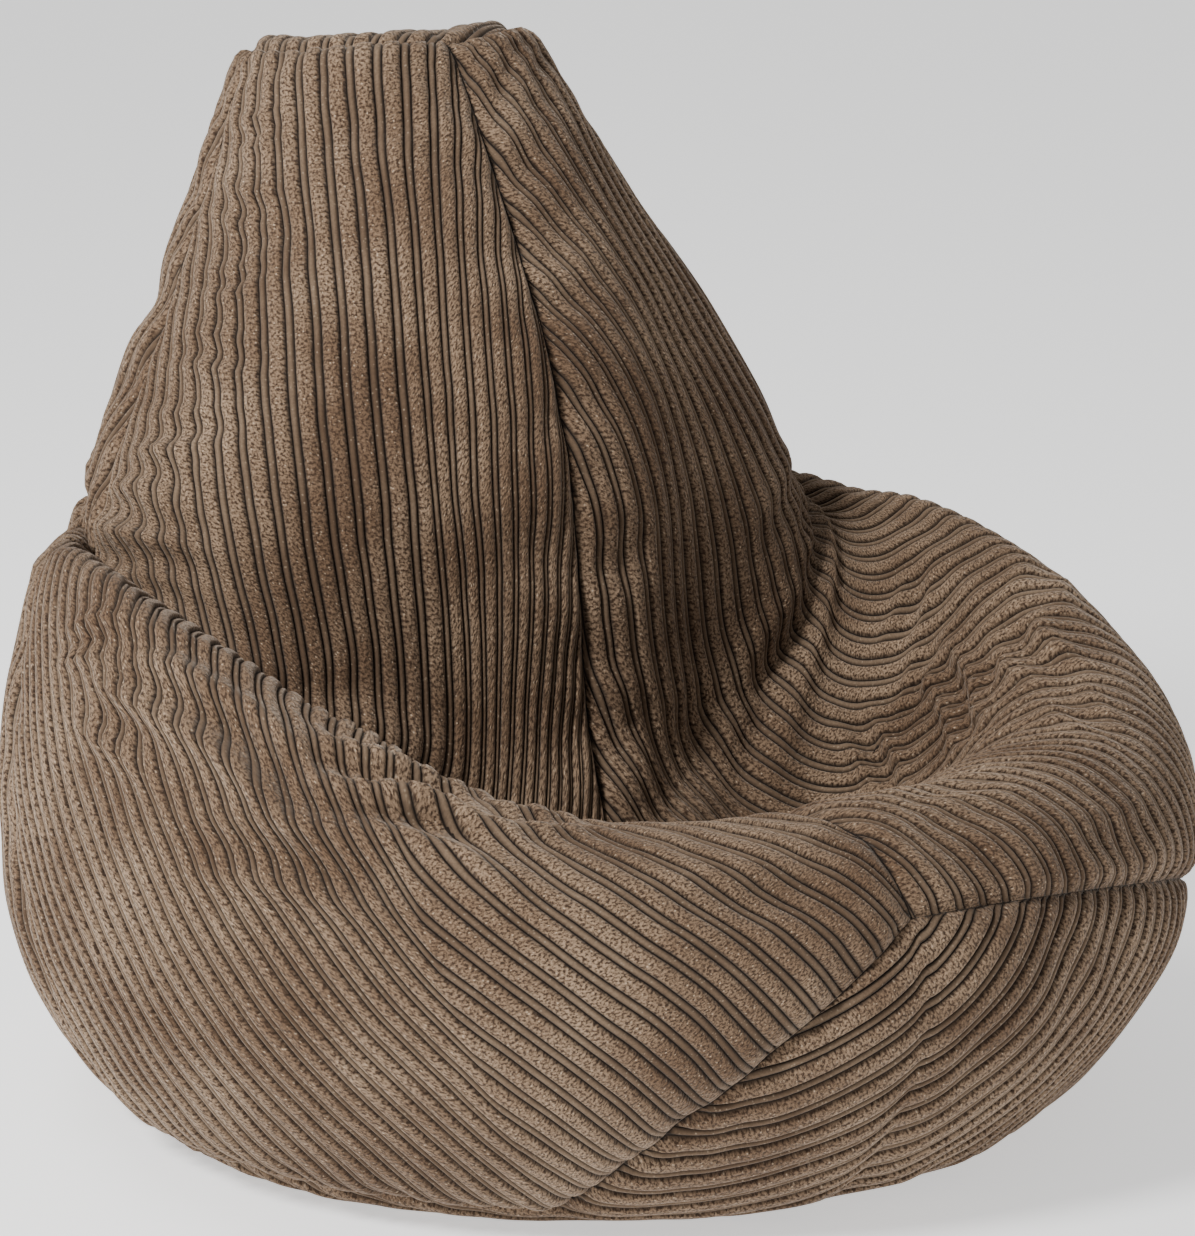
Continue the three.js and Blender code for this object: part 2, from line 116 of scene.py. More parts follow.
SLOT_HALF_LENGTH, SLOT_HALF_WIDTH = 244.0, 13.0   # opening in the base over the zip
HEM_LENGTH, HEM_WIDTH = 3.0, 3.2                  # room for the hem round the opening
BASE_HALF_GAP = 0.5                               # between the base's halves past the opening
LINER_DEPTH, LINER_THICKNESS = 7.6, 1.2           # the liner's outside, under the skin
BEAD_DEPTH = 9.6
LINER_FLOOR, BEAD_FLOOR = 16.0, 18.0              # the lowest height of liner and beads


def ease(x):
    """Smooth step from 0 to 1."""
    x = np.clip(x, 0, 1)
    return x * x * (3 - 2 * x)


def along(values, v):
    """Catmull-Rom curve through evenly spaced values."""
    last = len(values) - 1
    i = np.clip(np.floor(v * last).astype(int), 0, last - 1)
    t = v * last - i
    p, q, r, s = (values[np.clip(i + k, 0, last)] for k in (-1, 0, 1, 2))
    return q + 0.5 * t * (r - p + t * (2 * p - 5 * q + 4 * r - s + t * (3 * (q - r) + s - p)))


def base_seam_hoop(azimuth):
    """The base panel's front corner is drawn up the belly, steeply on its left."""
    turn = (azimuth + 180) % 360 - 180 - BASE_CORNER
    rise = np.where(turn < 0, np.clip(1 + turn / BASE_LEFT_SPREAD, 0, 1),
                    1 - ease(turn / BASE_RIGHT_SPREAD))
    return BASE_HOOP - BASE_LIFT * rise


def hoop_point(index, azimuth):
    """Point of one hoop in mm: its four radii and heights, blended round its centre."""
    cy, hub, rf, rl, rr, rb, zf, zl, zr, zb = np.moveaxis(HOOPS[index], -1, 0)
    mean = (rf + rl + rr + rb) / 4
    turn = np.radians(azimuth)
    a = turn - np.arcsin(np.where(mean > 0, (cy - hub) / np.maximum(mean, 1), 0) * np.sin(turn))
    wrapped = np.degrees(np.arccos(np.clip(np.cos(a), -1, 1)))
    front = 1 - ease((wrapped - FRONT_BLEND[0]) / (FRONT_BLEND[1] - FRONT_BLEND[0]))
    back = ease((wrapped - BACK_BLEND[0]) / (BACK_BLEND[1] - BACK_BLEND[0]))
    left = (1 - front - back) * (0.5 - 0.5 * np.sin(a))
    right = 1 - front - back - left
    r = front * rf + left * rl + right * rr + back * rb
    z = front * zf + left * zl + right * zr + back * zb
    return np.stack([r * np.sin(a), cy - r * np.cos(a), z], -1)


def drawn_point(azimuth, hoop):
    """Uniform cubic B-spline over the hoops; past each pole it runs on down the far side."""
    i = np.clip(np.floor(hoop).astype(int), 0, LAST_HOOP - 1)
    t = hoop - i
    total = 0
    for k, weight in enumerate(((1 - t) ** 3, 3 * t ** 3 - 6 * t ** 2 + 4,
                                -3 * t ** 3 + 3 * t ** 2 + 3 * t + 1, t ** 3)):
        index = i + k - 1
        beyond = (index < 0) | (index > LAST_HOOP)
        index = np.where(index < 0, -index, np.where(index > LAST_HOOP, 2 * LAST_HOOP - index, index))
        total = total + weight[..., None] / 6 * hoop_point(index, azimuth + 180 * beyond)
    return total


def panel_azimuth(u, v, seams):
    """Azimuth in a panel: u runs from its first seam to its second, v down it."""
    start, end = along(seams[0], v), along(seams[1], v)
    return start + (end - start) * u


def panel_hoop(u, v, seams):
    """Hoop in a panel: v runs from the cap seam down to the base seam."""
    bottom = base_seam_hoop(panel_azimuth(u, np.ones_like(u), seams))
    return CAP_HOOP + v * (bottom - CAP_HOOP)


def whole_bag(columns, cap_rows, side_rows, base_rows):
    """Azimuth and hoop of a grid over the whole bag: rows down, columns round."""
    u = np.arange(columns) / columns

    def ring(v):
        return np.concatenate([panel_azimuth(u, np.full(columns, v), seams) for seams in PANEL_SEAMS])

    bottom = base_seam_hoop(ring(1.0))
    azimuths, hoops = [], []
    for row in range(cap_rows + side_rows + base_rows + 1):
        v = float(np.clip((row - cap_rows) / side_rows, 0, 1))
        hoop = CAP_HOOP + v * (bottom - CAP_HOOP)
        if row < cap_rows:
            hoop = np.full(len(bottom), CAP_HOOP * row / cap_rows)
        if row > cap_rows + side_rows:
            hoop = bottom + (LAST_HOOP - bottom) * (row - cap_rows - side_rows) / base_rows
        azimuths.append(ring(v))
        hoops.append(hoop)
    return np.array(azimuths), np.array(hoops)


DRAWN = drawn_point(*whole_bag(*CAD_GRID)).reshape(-1, 3)
STRETCH = SIZE / (DRAWN.max(0) - DRAWN.min(0))
ORIGIN = np.append((DRAWN.max(0) + DRAWN.min(0))[:2] / 2, DRAWN[:, 2].min())


def skin(azimuth, hoop):
    """Point of the bag's outside, in mm."""
    return (drawn_point(azimuth, hoop) - ORIGIN) * STRETCH


def unit(v):
    return v / np.maximum(np.linalg.norm(v, axis=-1, keepdims=True), 1e-9)


def skin_normal(azimuth, hoop):
    """Outward direction of the skin, from its slopes down and around."""
    h = np.clip(hoop, 0.05, LAST_HOOP - 0.05)
    down = skin(azimuth, h + 0.02) - skin(azimuth, h - 0.02)
    around = skin(azimuth + 0.5, h) - skin(azimuth - 0.5, h)
    return unit(np.cross(down, around))


# ---------------------------------------------------------------- wrinkles and folds
def lumps(points, size, seed):
    """Smooth noise from -1 to 1 over points, with features of about a size in mm."""
    cell = points / size + seed * 17.3
    low = np.floor(cell).astype(np.int64)
    t = cell - low
    t = t * t * (3 - 2 * t)
    total = np.zeros(cell.shape[:-1])
    for corner in range(8):
        step = np.array([corner & 1, corner >> 1 & 1, corner >> 2 & 1])
        key = ((low + step) * np.array([73856093, 19349663, 83492791])).sum(-1) + seed * 2654435761
        key = (key ^ (key >> 13)) * 1274126177 & 0xFFFFFFFF
        value = ((key ^ (key >> 16)) & 0xFFFF) / 32767.5 - 1
        total += value * np.prod(np.where(step, t, 1 - t), axis=-1)
    return total


# Laid folds: azimuth, hoop, half length, half width and depth in mm, and the
# angle of the fold from straight across the bag, positive where its right end drops.
FOLDS = [
    (-64, 11.75, 95, 10, 14, -10), (-49, 11.45, 75, 9, 12, 16), (-46, 11.85, 80, 9, 12, -4),
    (-57, 12.35, 90, 12, 8, 8), (-36, 11.35, 50, 9, 7, 10), (-78, 12.0, 60, 11, 9, -12),
    (-70, 11.3, 55, 8, 6, 6), (-84, 11.6, 50, 8, 6, 14), (-54, 11.1, 46, 8, 5, -8),
    (-101, 6.4, 60, 9, 6, 8), (-98, 6.75, 75, 9, 7, 2), (-103, 7.1, 65, 9, 6, -6),
    (-88, 5.1, 50, 8, 5, 4), (-87, 4.1, 42, 8, 5, -4), (-92, 5.6, 60, 9, 5, 6),
    (-86, 4.6, 36, 7, 4, 10), (-96, 6.0, 46, 8, 5, -3), (-86, 3.5, 36, 7, 4, 3),
    (53, 9.0, 60, 9, 8, 28), (52, 10.0, 70, 10, 9, 20), (49, 10.9, 60, 10, 8, 24),
    (60, 9.5, 46, 8, 4, -30), (43, 10.3, 40, 9, 4, 50), (70, 9.4, 46, 9, 5, -24),
    (36, 11.4, 60, 11, 4, 30), (62, 11.2, 50, 10, 3, -10),
    (20, 12.4, 80, 12, 3, -4), (-20, 12.3, 90, 14, 3, 4), (5, 11.5, 60, 10, 3, 0),
    (120, 6.6, 70, 10, 5, 5), (140, 7.5, 80, 11, 6, -6), (175, 7.9, 90, 12, 5, 3),
    (205, 7.4, 80, 11, 6, 6), (230, 7.1, 70, 10, 5, -4), (160, 6.5, 60, 10, 4, 8),
    (120, 12.0, 90, 14, 4, 6), (170, 12.3, 100, 14, 4, -5), (220, 12.1, 100, 14, 4, 4),
    (196, 5.2, 60, 9, 4, 4), (150, 5.0, 60, 9, 4, -6), (84, 12.6, 70, 12, 3, 8),
]


FOLD_REACH = 1.8                 # a fold is left out past this many of its half lengths


def fold_frames():
    """Each fold's numbers, with its centre, the skin's normal there and its direction."""
    spots = np.array(FOLDS, float)
    azimuth, hoop = spots[:, 0], spots[:, 1]
    centre, normal = skin(azimuth, hoop), skin_normal(azimuth, hoop)
    across = unit(skin(azimuth + 1, hoop) - skin(azimuth - 1, hoop))
    down = np.cross(across, normal)
    turn = np.radians(spots[:, 5])[:, None]
    return spots, centre, normal, across * np.cos(turn) - down * np.sin(turn)


FOLD_SPOTS, FOLD_CENTRES, FOLD_NORMALS, FOLD_WAYS = fold_frames()


def folds(points):
    """Creases with a swollen lip on each side, in mm out of the skin."""
    total = np.zeros(len(points))
    for spot, centre, normal, way in zip(FOLD_SPOTS, FOLD_CENTRES, FOLD_NORMALS, FOLD_WAYS):
        length, width, depth = spot[2:5]
        offset = points - centre
        s = offset @ way / length
        reach = np.abs(s) < FOLD_REACH
        if not reach.any():
            continue
        near = offset[reach]
        bow = 5 * np.sin(near @ way / length * 2.4 + spot[0])
        w = (near @ np.cross(normal, way) + bow) / width
        fade = np.exp(-s[reach] ** 2 * 1.6) * np.exp(-(near @ normal / 55) ** 2)
        shape = -0.55 * np.exp(-w ** 2) + 1.0 * np.exp(-(np.abs(w) - 1.7) ** 2 / 0.7)
        total[reach] += depth * fade * shape
    return total


CREASE_FADE = 22.0               # degrees over which a crease fades at its ends
# Where the back meets the arms and the seat the cloth is pinched between swollen sides:
# hoop, half width in hoops, height in mm, and the azimuths between which it lasts.
CREASES = [(7.75, 0.20, 7.5, (34, 112)), (7.6, 0.20, 6.0, (-112, -40)), (6.9, 0.16, 3.5, (52, 104))]


def creases(azimuth, hoop):
    """The pinched creases' height in mm: a valley between two swollen sides."""
    turned = (azimuth + 180) % 360 - 180
    total = np.zeros(np.shape(hoop))
    for centre, width, height, (start, end) in CREASES:
        window = ease((turned - start) / CREASE_FADE) * ease((end - turned) / CREASE_FADE)
        w = (hoop - centre - 0.18 * np.sin(np.radians(turned * 4))) / width
        total += height * window * (np.exp(-(np.abs(w) - 1.5) ** 2 / 0.9) - 0.45 * np.exp(-w ** 2 * 1.5))
    return total


SIM_LIMITS = (-3.0, 7.0)         # how far the simulation may move the skin in and out, mm
SIM_FRAMES = 20
FILL_HOLD = 0.12                 # how firmly the fill holds the cloth away from its seams
# Uneven cloth: height and size of its lumps in mm, and their seed.
START_LUMPS = [(1.6, 46, 3), (0.8, 24, 4)]
SETTLED_LUMPS = [(2.6, 105, 1), (1.5, 48, 2)]


def uneven(points, layers):
    """Sum of layers of lumps, in mm."""
    return sum(height * lumps(points, size, seed) for height, size, seed in layers)


def ring_mesh(rings):
    """Points and faces of a closed skin over stacked rings whose first and last are poles."""
    rows, columns = rings.shape[:2]
    points = np.concatenate([rings[0, :1], rings[1:-1].reshape(-1, 3), rings[-1, :1]])
    last = len(points) - 1

    def at(row, column):
        return 1 + (row - 1) * columns + column % columns

    faces = [(0, at(1, c), at(1, c + 1)) for c in range(columns)]
    faces += [(at(r, c), at(r + 1, c), at(r + 1, c + 1), at(r, c + 1))
              for r in range(1, rows - 2) for c in range(columns)]
    faces += [(at(rows - 2, c), last, at(rows - 2, c + 1)) for c in range(columns)]
    return points, faces, at


def simulate():
    """Cloth under pressure, held at its seams: how far the skin moves out, over the grid."""
    azimuth, hoop = whole_bag(*SIM_GRID)
    rows, columns = azimuth.shape
    rest, normal = skin(azimuth, hoop), skin_normal(azimuth, hoop)
    start = rest + normal * uneven(rest, START_LUMPS)[..., None]
    points, faces, at = ring_mesh(start)
    last = len(points) - 1
    mesh = bpy.data.meshes.new("pressed_bag")
    mesh.from_pydata((points * MM).tolist(), [], faces)
    bag = bpy.data.objects.new("pressed_bag", mesh)
    bpy.context.scene.collection.objects.link(bag)
    hold = bag.vertex_groups.new(name="hold")
    seam_rows = (SIM_CAP, SIM_CAP + SIM_SIDE)
    for row in range(1, rows - 1):
        for column in range(columns):
            sewn = row in seam_rows or column % SIM_COLUMNS == 0
            resting = rest[row, column, 2] < 1
            hold.add([at(row, column)], 1.0 if sewn or resting else FILL_HOLD, "REPLACE")
    hold.add([0, last], 1.0, "REPLACE")
    cloth = bag.modifiers.new("cloth", "CLOTH")
    settings = cloth.settings
    settings.quality = 6
    settings.mass = 0.3
    settings.tension_stiffness = settings.compression_stiffness = 14
    settings.shear_stiffness = 6
    settings.bending_stiffness = 0.35
    settings.shrink_min = -0.035     # cut larger than the bag, so that it buckles
    settings.use_pressure = True
    settings.uniform_pressure_force = 4
    settings.vertex_group_mass = "hold"
    settings.pin_stiffness = 1.0
    settings.effector_weights.gravity = 0
    cloth.collision_settings.use_collision = False
    scene = bpy.context.scene
    cloth.point_cache.frame_start, cloth.point_cache.frame_end = 1, SIM_FRAMES
    for step in range(1, SIM_FRAMES + 1):
        scene.frame_set(step)
    shaped = bag.evaluated_get(bpy.context.evaluated_depsgraph_get())
    moved = np.empty(len(points) * 3)
    shaped.data.vertices.foreach_get("co", moved)
    scene.frame_set(1)
    bpy.data.objects.remove(bag)
    bpy.data.meshes.remove(mesh)
    moved = moved.reshape(-1, 3) / MM
    field = np.zeros((rows, columns, 3))
    field[1:-1] = moved[1:-1].reshape(rows - 2, columns, 3)
    field[0], field[-1] = moved[0], moved[-1]
    return np.clip(((field - rest) * normal).sum(-1), *SIM_LIMITS)


def cubic(t):
    """Weights of four neighbours in a uniform cubic B-spline."""
    return ((1 - t) ** 3 / 6, (3 * t ** 3 - 6 * t ** 2 + 4) / 6,
            (-3 * t ** 3 + 3 * t ** 2 + 3 * t + 1) / 6, t ** 3 / 6)


def field_at(field, round_trip, row):
    """Smooth reading of a field at a place round the bag (0 to 4) and a row."""
    column = round_trip * SIM_COLUMNS
    c, r = np.floor(column).astype(int), np.floor(row).astype(int)
    total = 0
    for i, wr in enumerate(cubic(row - r)):
        for j, wc in enumerate(cubic(column - c)):
            total = total + wr * wc * field[np.clip(r + i - 1, 0, len(field) - 1),
                                            (c + j - 1) % field.shape[1]]
    return total


class Shape:
    """What the pieces share once the cloth has settled."""
    field = None                 # how far the simulation moved the skin out, in mm


FLAT_BELOW = 22.0                # wrinkles fade out below this height, where the bag rests


def relief(points, azimuth, hoop, round_trip, row):
    """Everything that moves the skin in or out, in mm, but for seams and ribs."""
    total = field_at(Shape.field, round_trip, row) + folds(points) + creases(azimuth, hoop)
    total += uneven(points, SETTLED_LUMPS)
    return total * np.clip(points[:, 2] / FLAT_BELOW, 0, 1)


# ---------------------------------------------------------------- ribs of the cloth
RIB_PERIOD = 20.8                # a wide and a narrow rib together
# Across one wide and one narrow rib: place and height in mm. It starts in a groove.
RIB_SHAPE = np.array([
    (0.0, 0.0), (0.9, 2.2), (2.0, 3.7), (4.0, 4.4), (7.1, 4.6), (10.2, 4.4), (12.2, 3.7),
    (13.3, 2.2), (14.2, 0.0), (15.0, 1.2), (16.0, 2.2), (17.5, 2.6), (19.0, 2.2), (20.0, 1.2),
])
WIDE_RIB_WIDTH = 14.2
KNOTS = len(RIB_SHAPE)
RIB_LIFT = 1.6                   # the ribs' bottoms lie this far under the CAD skin
ROW_STEP, CAP_ROW_STEP = 6.0, 4.0                 # between rows of vertices along the ribs
CAP_RIB_ANGLE, BASE_RIB_ANGLE = -58.0, 55.0       # turn of the ribs in the flat pattern
SEAM_DIP, SEAM_REACH = 5.0, 9.0  # how deep a seam draws the cloth in, and from how far
PUCKER = (0.35, 20, 31)          # lumps that make the dip uneven: share of it, size, seed
SEAM_HALF_GAP = 0.35             # a panel's edge stops this far short of its seam
CLOTH_THICKNESS = 2.4
DEEPEST_FOLD, DEEPEST_FACE = -4.6, 7.2            # limits that keep the cloth off the liner
BACK_OF_CLOTH = 0.6              # the plain inside is coloured like this height up a rib
# Where going down a panel its ribs lean towards its right-hand seam: shares of the panel's
# length at which the lean starts and ends, and how far the ribs have moved by then, in mm.
RIB_LEANS = {"front_left_panel": [(0.56, 1.06, 215)],
             "front_right_panel": [(0.10, 0.42, 85), (0.66, 1.1, 80)],
             "rear_right_panel": [(0.1, 0.5, 30)], "rear_left_panel": [(0.1, 0.5, -30)]}
EDGE_TAPER = 3.0                 # the ribs are flattened this near a seam


def knots_between(low, high, step=1):
    """Whole numbers of the rib knots that lie strictly inside an interval, with places."""
    first, last = math.floor(low / RIB_PERIOD) * KNOTS, math.ceil(high / RIB_PERIOD) * KNOTS
    number = np.arange(first, last + 1)
    number = number[number % step == 0]
    place = number // KNOTS * RIB_PERIOD + RIB_SHAPE[number % KNOTS, 0]
    inside = (place > low + 0.4) & (place < high - 0.4)
    return place[inside], RIB_SHAPE[number[inside] % KNOTS, 1]


def stitch(faces, a, at_a, b, at_b, flip=False):
    """Joins two rows of vertices by their places across the cloth; equal places make quads."""
    i = j = 0
    while i < len(a) - 1 or j < len(b) - 1:
        next_a = at_a[i + 1] if i + 1 < len(a) else math.inf
        next_b = at_b[j + 1] if j + 1 < len(b) else math.inf
        both_end = i == len(a) - 2 and j == len(b) - 2
        if both_end or abs(next_a - next_b) < 1e-6:
            face = (a[i], b[j], b[j + 1], a[i + 1])
            i, j = i + 1, j + 1
        elif next_a < next_b:
            face = (a[i], b[j], a[i + 1])
            i += 1
        else:
            face = (a[i], b[j], b[j + 1])
            j += 1
        faces.append(face[::-1] if flip else face)


def rows_of_ribs(spans, rib_step=1):
    """Vertices for each span (low, high, inside): place across, rib height, row number."""
    place, height, row, starts = [], [], [], []
    total = 0
    for number, (low, high) in enumerate(spans):
        inner, tall = knots_between(low, high, rib_step)
        place.append(np.concatenate([[low], inner, [high]]))
        height.append(np.concatenate([[0.0], tall, [0.0]]))
        row.append(np.full(len(inner) + 2, number))
        starts.append(total)
        total += len(inner) + 2
    return (np.concatenate(place), np.concatenate(height), np.concatenate(row),
            starts + [total])


def weave(faces, place, starts, base=0, flip=False):
    """Faces between each two neighbouring rows."""
    at = place.tolist()
    for r in range(len(starts) - 2):
        a0, a1, b1 = starts[r], starts[r + 1], starts[r + 2]
        stitch(faces, range(base + a0, base + a1), at[a0:a1],
               range(base + a1, base + b1), at[a1:b1], flip)


def close_edge(faces, outer, inner, flip):
    """Joins an outer and an inner sheet's rows round their whole border."""
    (place_o, starts_o, base_o), (place_i, starts_i, base_i) = outer, inner
    for r in range(len(starts_o) - 2):
        for side, turn in ((0, False), (-1, True)):
            o0 = base_o + (starts_o[r] if side == 0 else starts_o[r + 1] - 1)
            o1 = base_o + (starts_o[r + 1] if side == 0 else starts_o[r + 2] - 1)
            i0 = base_i + (starts_i[r] if side == 0 else starts_i[r + 1] - 1)
            i1 = base_i + (starts_i[r + 1] if side == 0 else starts_i[r + 2] - 1)
            face = (o0, i0, i1, o1)
            faces.append(face[::-1] if turn != flip else face)
    for r, turn in ((0, True), (len(starts_o) - 2, False)):
        o = slice(starts_o[r], starts_o[r + 1])
        i = slice(starts_i[r], starts_i[r + 1])
        stitch(faces, range(base_o + o.start, base_o + o.stop), place_o[o].tolist(),
               range(base_i + i.start, base_i + i.stop), place_i[i].tolist(), turn != flip)


def seam_dip(distance, points):
    """How a seam draws the cloth in, puckered along its length, in mm."""
    pucker = 1 + uneven(points, [PUCKER])
    return -SEAM_DIP * np.exp(-(distance / SEAM_REACH) ** 1.6) * pucker


def layered(out, ribs, depth):
    """Height of a face of the cloth over the skin, kept clear of the liner."""
    return np.maximum(np.maximum(out, DEEPEST_FOLD) + ribs - depth, -DEEPEST_FACE)


def rib_taper(distance):
    """Share of their height that the ribs keep near an edge."""
    return 1 - np.exp(-(distance / EDGE_TAPER) ** 2)


def two_faced(spans, surface, downs, flip):
    """A sheet's ribbed outside and plain inside, closed round the edge.

    surface(place, row, ribs, depth) gives a face's points, and downs is each row's place
    along the ribs. Returns points, faces, and each point's place across, along and height.
    """
    outer, inner = rows_of_ribs(spans), rows_of_ribs(spans, KNOTS)
    outside = surface(outer[0], outer[2], outer[1] - RIB_LIFT, 0.0)
    inside = surface(inner[0], inner[2], np.zeros(len(inner[0])), CLOTH_THICKNESS + RIB_LIFT)
    outside[:, 2] = np.maximum(outside[:, 2], 0)
    inside[:, 2] = np.maximum(inside[:, 2], CLOTH_THICKNESS)
    faces = []
    weave(faces, outer[0], outer[3], flip=flip)
    weave(faces, inner[0], inner[3], len(outside), flip=not flip)
    close_edge(faces, (outer[0], outer[3], 0), (inner[0], inner[3], len(outside)), flip)
    place = np.concatenate([outer[0], inner[0]])
    down = np.concatenate([downs[outer[2]], downs[inner[2]]])
    height = np.concatenate([outer[1], np.full(len(inside), BACK_OF_CLOTH)])
    return np.concatenate([outside, inside]), faces, place, down, height


# ---------------------------------------------------------------- side panels
ACROSS_SAMPLES, DOWN_SAMPLES = 261, 600           # for measuring a panel's skin
END_ROWS = np.array([1.5, 3.2])                   # extra rows this near a panel's two ends
RIB_OFFSET = 7.0                 # each panel was cut from another place in the cloth


def panel_sheet(index, name):
    """One side panel: ribs run down it side by side, parallel to its middle line."""
    seams = PANELS[name]
    samples = np.linspace(0, 1, ACROSS_SAMPLES)
    down = np.linspace(0, 1, DOWN_SAMPLES)
    middle = np.full(len(down), 0.5)
    line = skin(panel_azimuth(middle, down, seams), panel_hoop(middle, down, seams))
    length = np.append(0, np.cumsum(np.linalg.norm(np.diff(line, axis=0), axis=1)))
    steps = np.linspace(0, 1, int(length[-1] / ROW_STEP))
    ends = END_ROWS / length[-1]
    steps = np.sort(np.concatenate([steps, ends, 1 - ends]))
    rows = np.interp(steps * length[-1], length, down)
    v = np.repeat(rows[:, None], len(samples), 1)
    u = np.repeat(samples[None], len(rows), 0)
    points = skin(panel_azimuth(u, v, seams), panel_hoop(u, v, seams))
    across = np.zeros(u.shape)
    across[:, 1:] = np.cumsum(np.linalg.norm(np.diff(points, axis=1), axis=2), axis=1)
    across -= across[:, [len(samples) // 2]]
    widths = across[:, -1] - across[:, 0]
    across += uneven(points, [(1.6, 62, 5 + index), (0.7, 27, 9 + index)]) + RIB_OFFSET * index
    for start, end, shift in RIB_LEANS[name]:
        across -= shift * ease((steps - start) / (end - start))[:, None]
    spans = [(row[0], row[-1]) for row in across]

    def surface(place, row, ribs, depth):
        flat_u = np.empty(len(place))
        for r in range(len(rows)):
            on = row == r
            flat_u[on] = np.interp(place[on], across[r], samples)
        flat_v = rows[row]
        azimuth, hoop = panel_azimuth(flat_u, flat_v, seams), panel_hoop(flat_u, flat_v, seams)
        point, normal = skin(azimuth, hoop), skin_normal(azimuth, hoop)
        side = np.minimum(flat_u, 1 - flat_u) * widths[row]
        distance = np.minimum(side, np.minimum(flat_v, 1 - flat_v) * length[-1])
        out = relief(point, azimuth, hoop, index + flat_u, SIM_CAP + flat_v * SIM_SIDE)
        out = layered(out + seam_dip(distance, point), ribs * rib_taper(distance), depth)
        inward = (flat_u < 1e-6) * 1.0 - (flat_u > 1 - 1e-6)
        around = unit(skin(azimuth + 0.5, hoop) - skin(azimuth - 0.5, hoop))
        return point + normal * out[:, None] + around * (SEAM_HALF_GAP * inward)[:, None]

    return two_faced(spans, surface, steps * length[-1], False)


# ---------------------------------------------------------------- cap and base
POLAR_TURN, POLAR_STEPS = 2, 96  # degrees between lines of the flat pattern; steps in a line
SCAN_STEP = 1.5                  # spacing of the search for a round panel's edges, mm
LEAST_REACH = 1.2                # its first and last rows lie at least this far inside, mm
END_SHARES = np.array([0.002, 0.006, 0.013])      # extra rows near both ends, as shares
DIP_FADE = 12.0                  # seams draw in less below this height


def polar_map(pole_hoop, edge_hoop):
    """Flat pattern of a round panel: how far each hoop lies from the pole, by azimuth."""
    azimuths = np.arange(0, 361.0, POLAR_TURN)
    t = np.linspace(0, 1, POLAR_STEPS + 1)
    edge = edge_hoop(azimuths)
    hoop = pole_hoop + (edge[:, None] - pole_hoop) * t[None]
    points = skin(np.repeat(azimuths[:, None], len(t), 1), hoop)
    reach = np.zeros(hoop.shape)
    reach[:, 1:] = np.cumsum(np.linalg.norm(np.diff(points, axis=1), axis=2), axis=1)
    table = np.array([np.interp(t * r[-1], r, t) for r in reach])
    return azimuths, reach[:, -1], table


def read_polar(mapped, x, y):
    """Azimuth, share of the way to the edge and distance from the edge for flat points."""
    azimuths, radius, table = mapped
    azimuth = np.degrees(np.arctan2(x, -y)) % 360
    rim = np.interp(azimuth, azimuths, radius)
    share = np.clip(np.hypot(x, y) / rim, 0, 1)
    a = azimuth / POLAR_TURN
    i = np.clip(a.astype(int), 0, len(azimuths) - 2)
    s = share * POLAR_STEPS
    j = np.clip(s.astype(int), 0, POLAR_STEPS - 1)
    fa, fs = a - i, s - j
    t = ((table[i, j] * (1 - fs) + table[i, j + 1] * fs) * (1 - fa)
         + (table[i + 1, j] * (1 - fs) + table[i + 1, j + 1] * fs) * fa)
    return azimuth, t, rim - np.hypot(x, y)


def round_sheet(pole_hoop, edge_hoop, rib_angle, row_step, keep=None):
    """A round panel with straight ribs, or the part of it where keep(point) is above zero."""
    mapped = polar_map(pole_hoop, edge_hoop)
    cos, sin = math.cos(math.radians(rib_angle)), math.sin(math.radians(rib_angle))
    widest = mapped[1].max() + 5
    scan = np.arange(-widest, widest, SCAN_STEP)

    def flat(across, down):
        return across * cos - down * sin, across * sin + down * cos

    def place_of(across, down):
        x, y = flat(across, down)
        azimuth, t, distance = read_polar(mapped, x, y)
        return azimuth, pole_hoop + t * (edge_hoop(azimuth) - pole_hoop), distance, t

    def inside(across, down):
        azimuth, hoop, distance, _ = place_of(across, down)
        if keep is None:
            return distance
        return np.minimum(distance, keep(skin(azimuth, hoop)))

    reached = scan[[inside(scan, np.full(len(scan), d)).max() > LEAST_REACH for d in scan]]
    low, high = reached.min(), reached.max()
    even = np.linspace(0, 1, int((high - low) / row_step))
    shares = np.concatenate([even, END_SHARES, 1 - END_SHARES])
    rows, spans = [], []
    for d in low + (high - low) * np.sort(shares):
        value = inside(scan, np.full(len(scan), d))
        on = np.nonzero(value > 0)[0]
        if len(on) < 2:
            continue
        edges = []
        for k, step in ((on[0], -1), (on[-1], 1)):
            n = min(max(k + step, 0), len(scan) - 1)
            part = value[k] / max(value[k] - value[n], 1e-6)
            edges.append(scan[k] + (scan[n] - scan[k]) * min(max(part, 0), 1))
        if edges[1] - edges[0] > 2:
            rows.append(d)
            spans.append(tuple(edges))
    rows = np.array(rows)
    is_cap = pole_hoop == 0

    def surface(place, row, ribs, depth):
        azimuth, hoop, distance, t = place_of(place, rows[row])
        point, normal = skin(azimuth, hoop), skin_normal(azimuth, hoop)
        edge = np.maximum(inside(place, rows[row]), 0)
        field_row = t * SIM_CAP if is_cap else SIM_CAP + SIM_SIDE + (1 - t) * SIM_BASE
        out = relief(point, azimuth, hoop, round_trip(azimuth, 0.0 if is_cap else 1.0), field_row)
        dip = seam_dip(np.maximum(distance, 0), point) * np.clip(point[:, 2] / DIP_FADE, 0, 1)
        return point + normal * layered(out + dip, ribs * rib_taper(edge), depth)[:, None]

    return two_faced(spans, surface, rows, not is_cap)


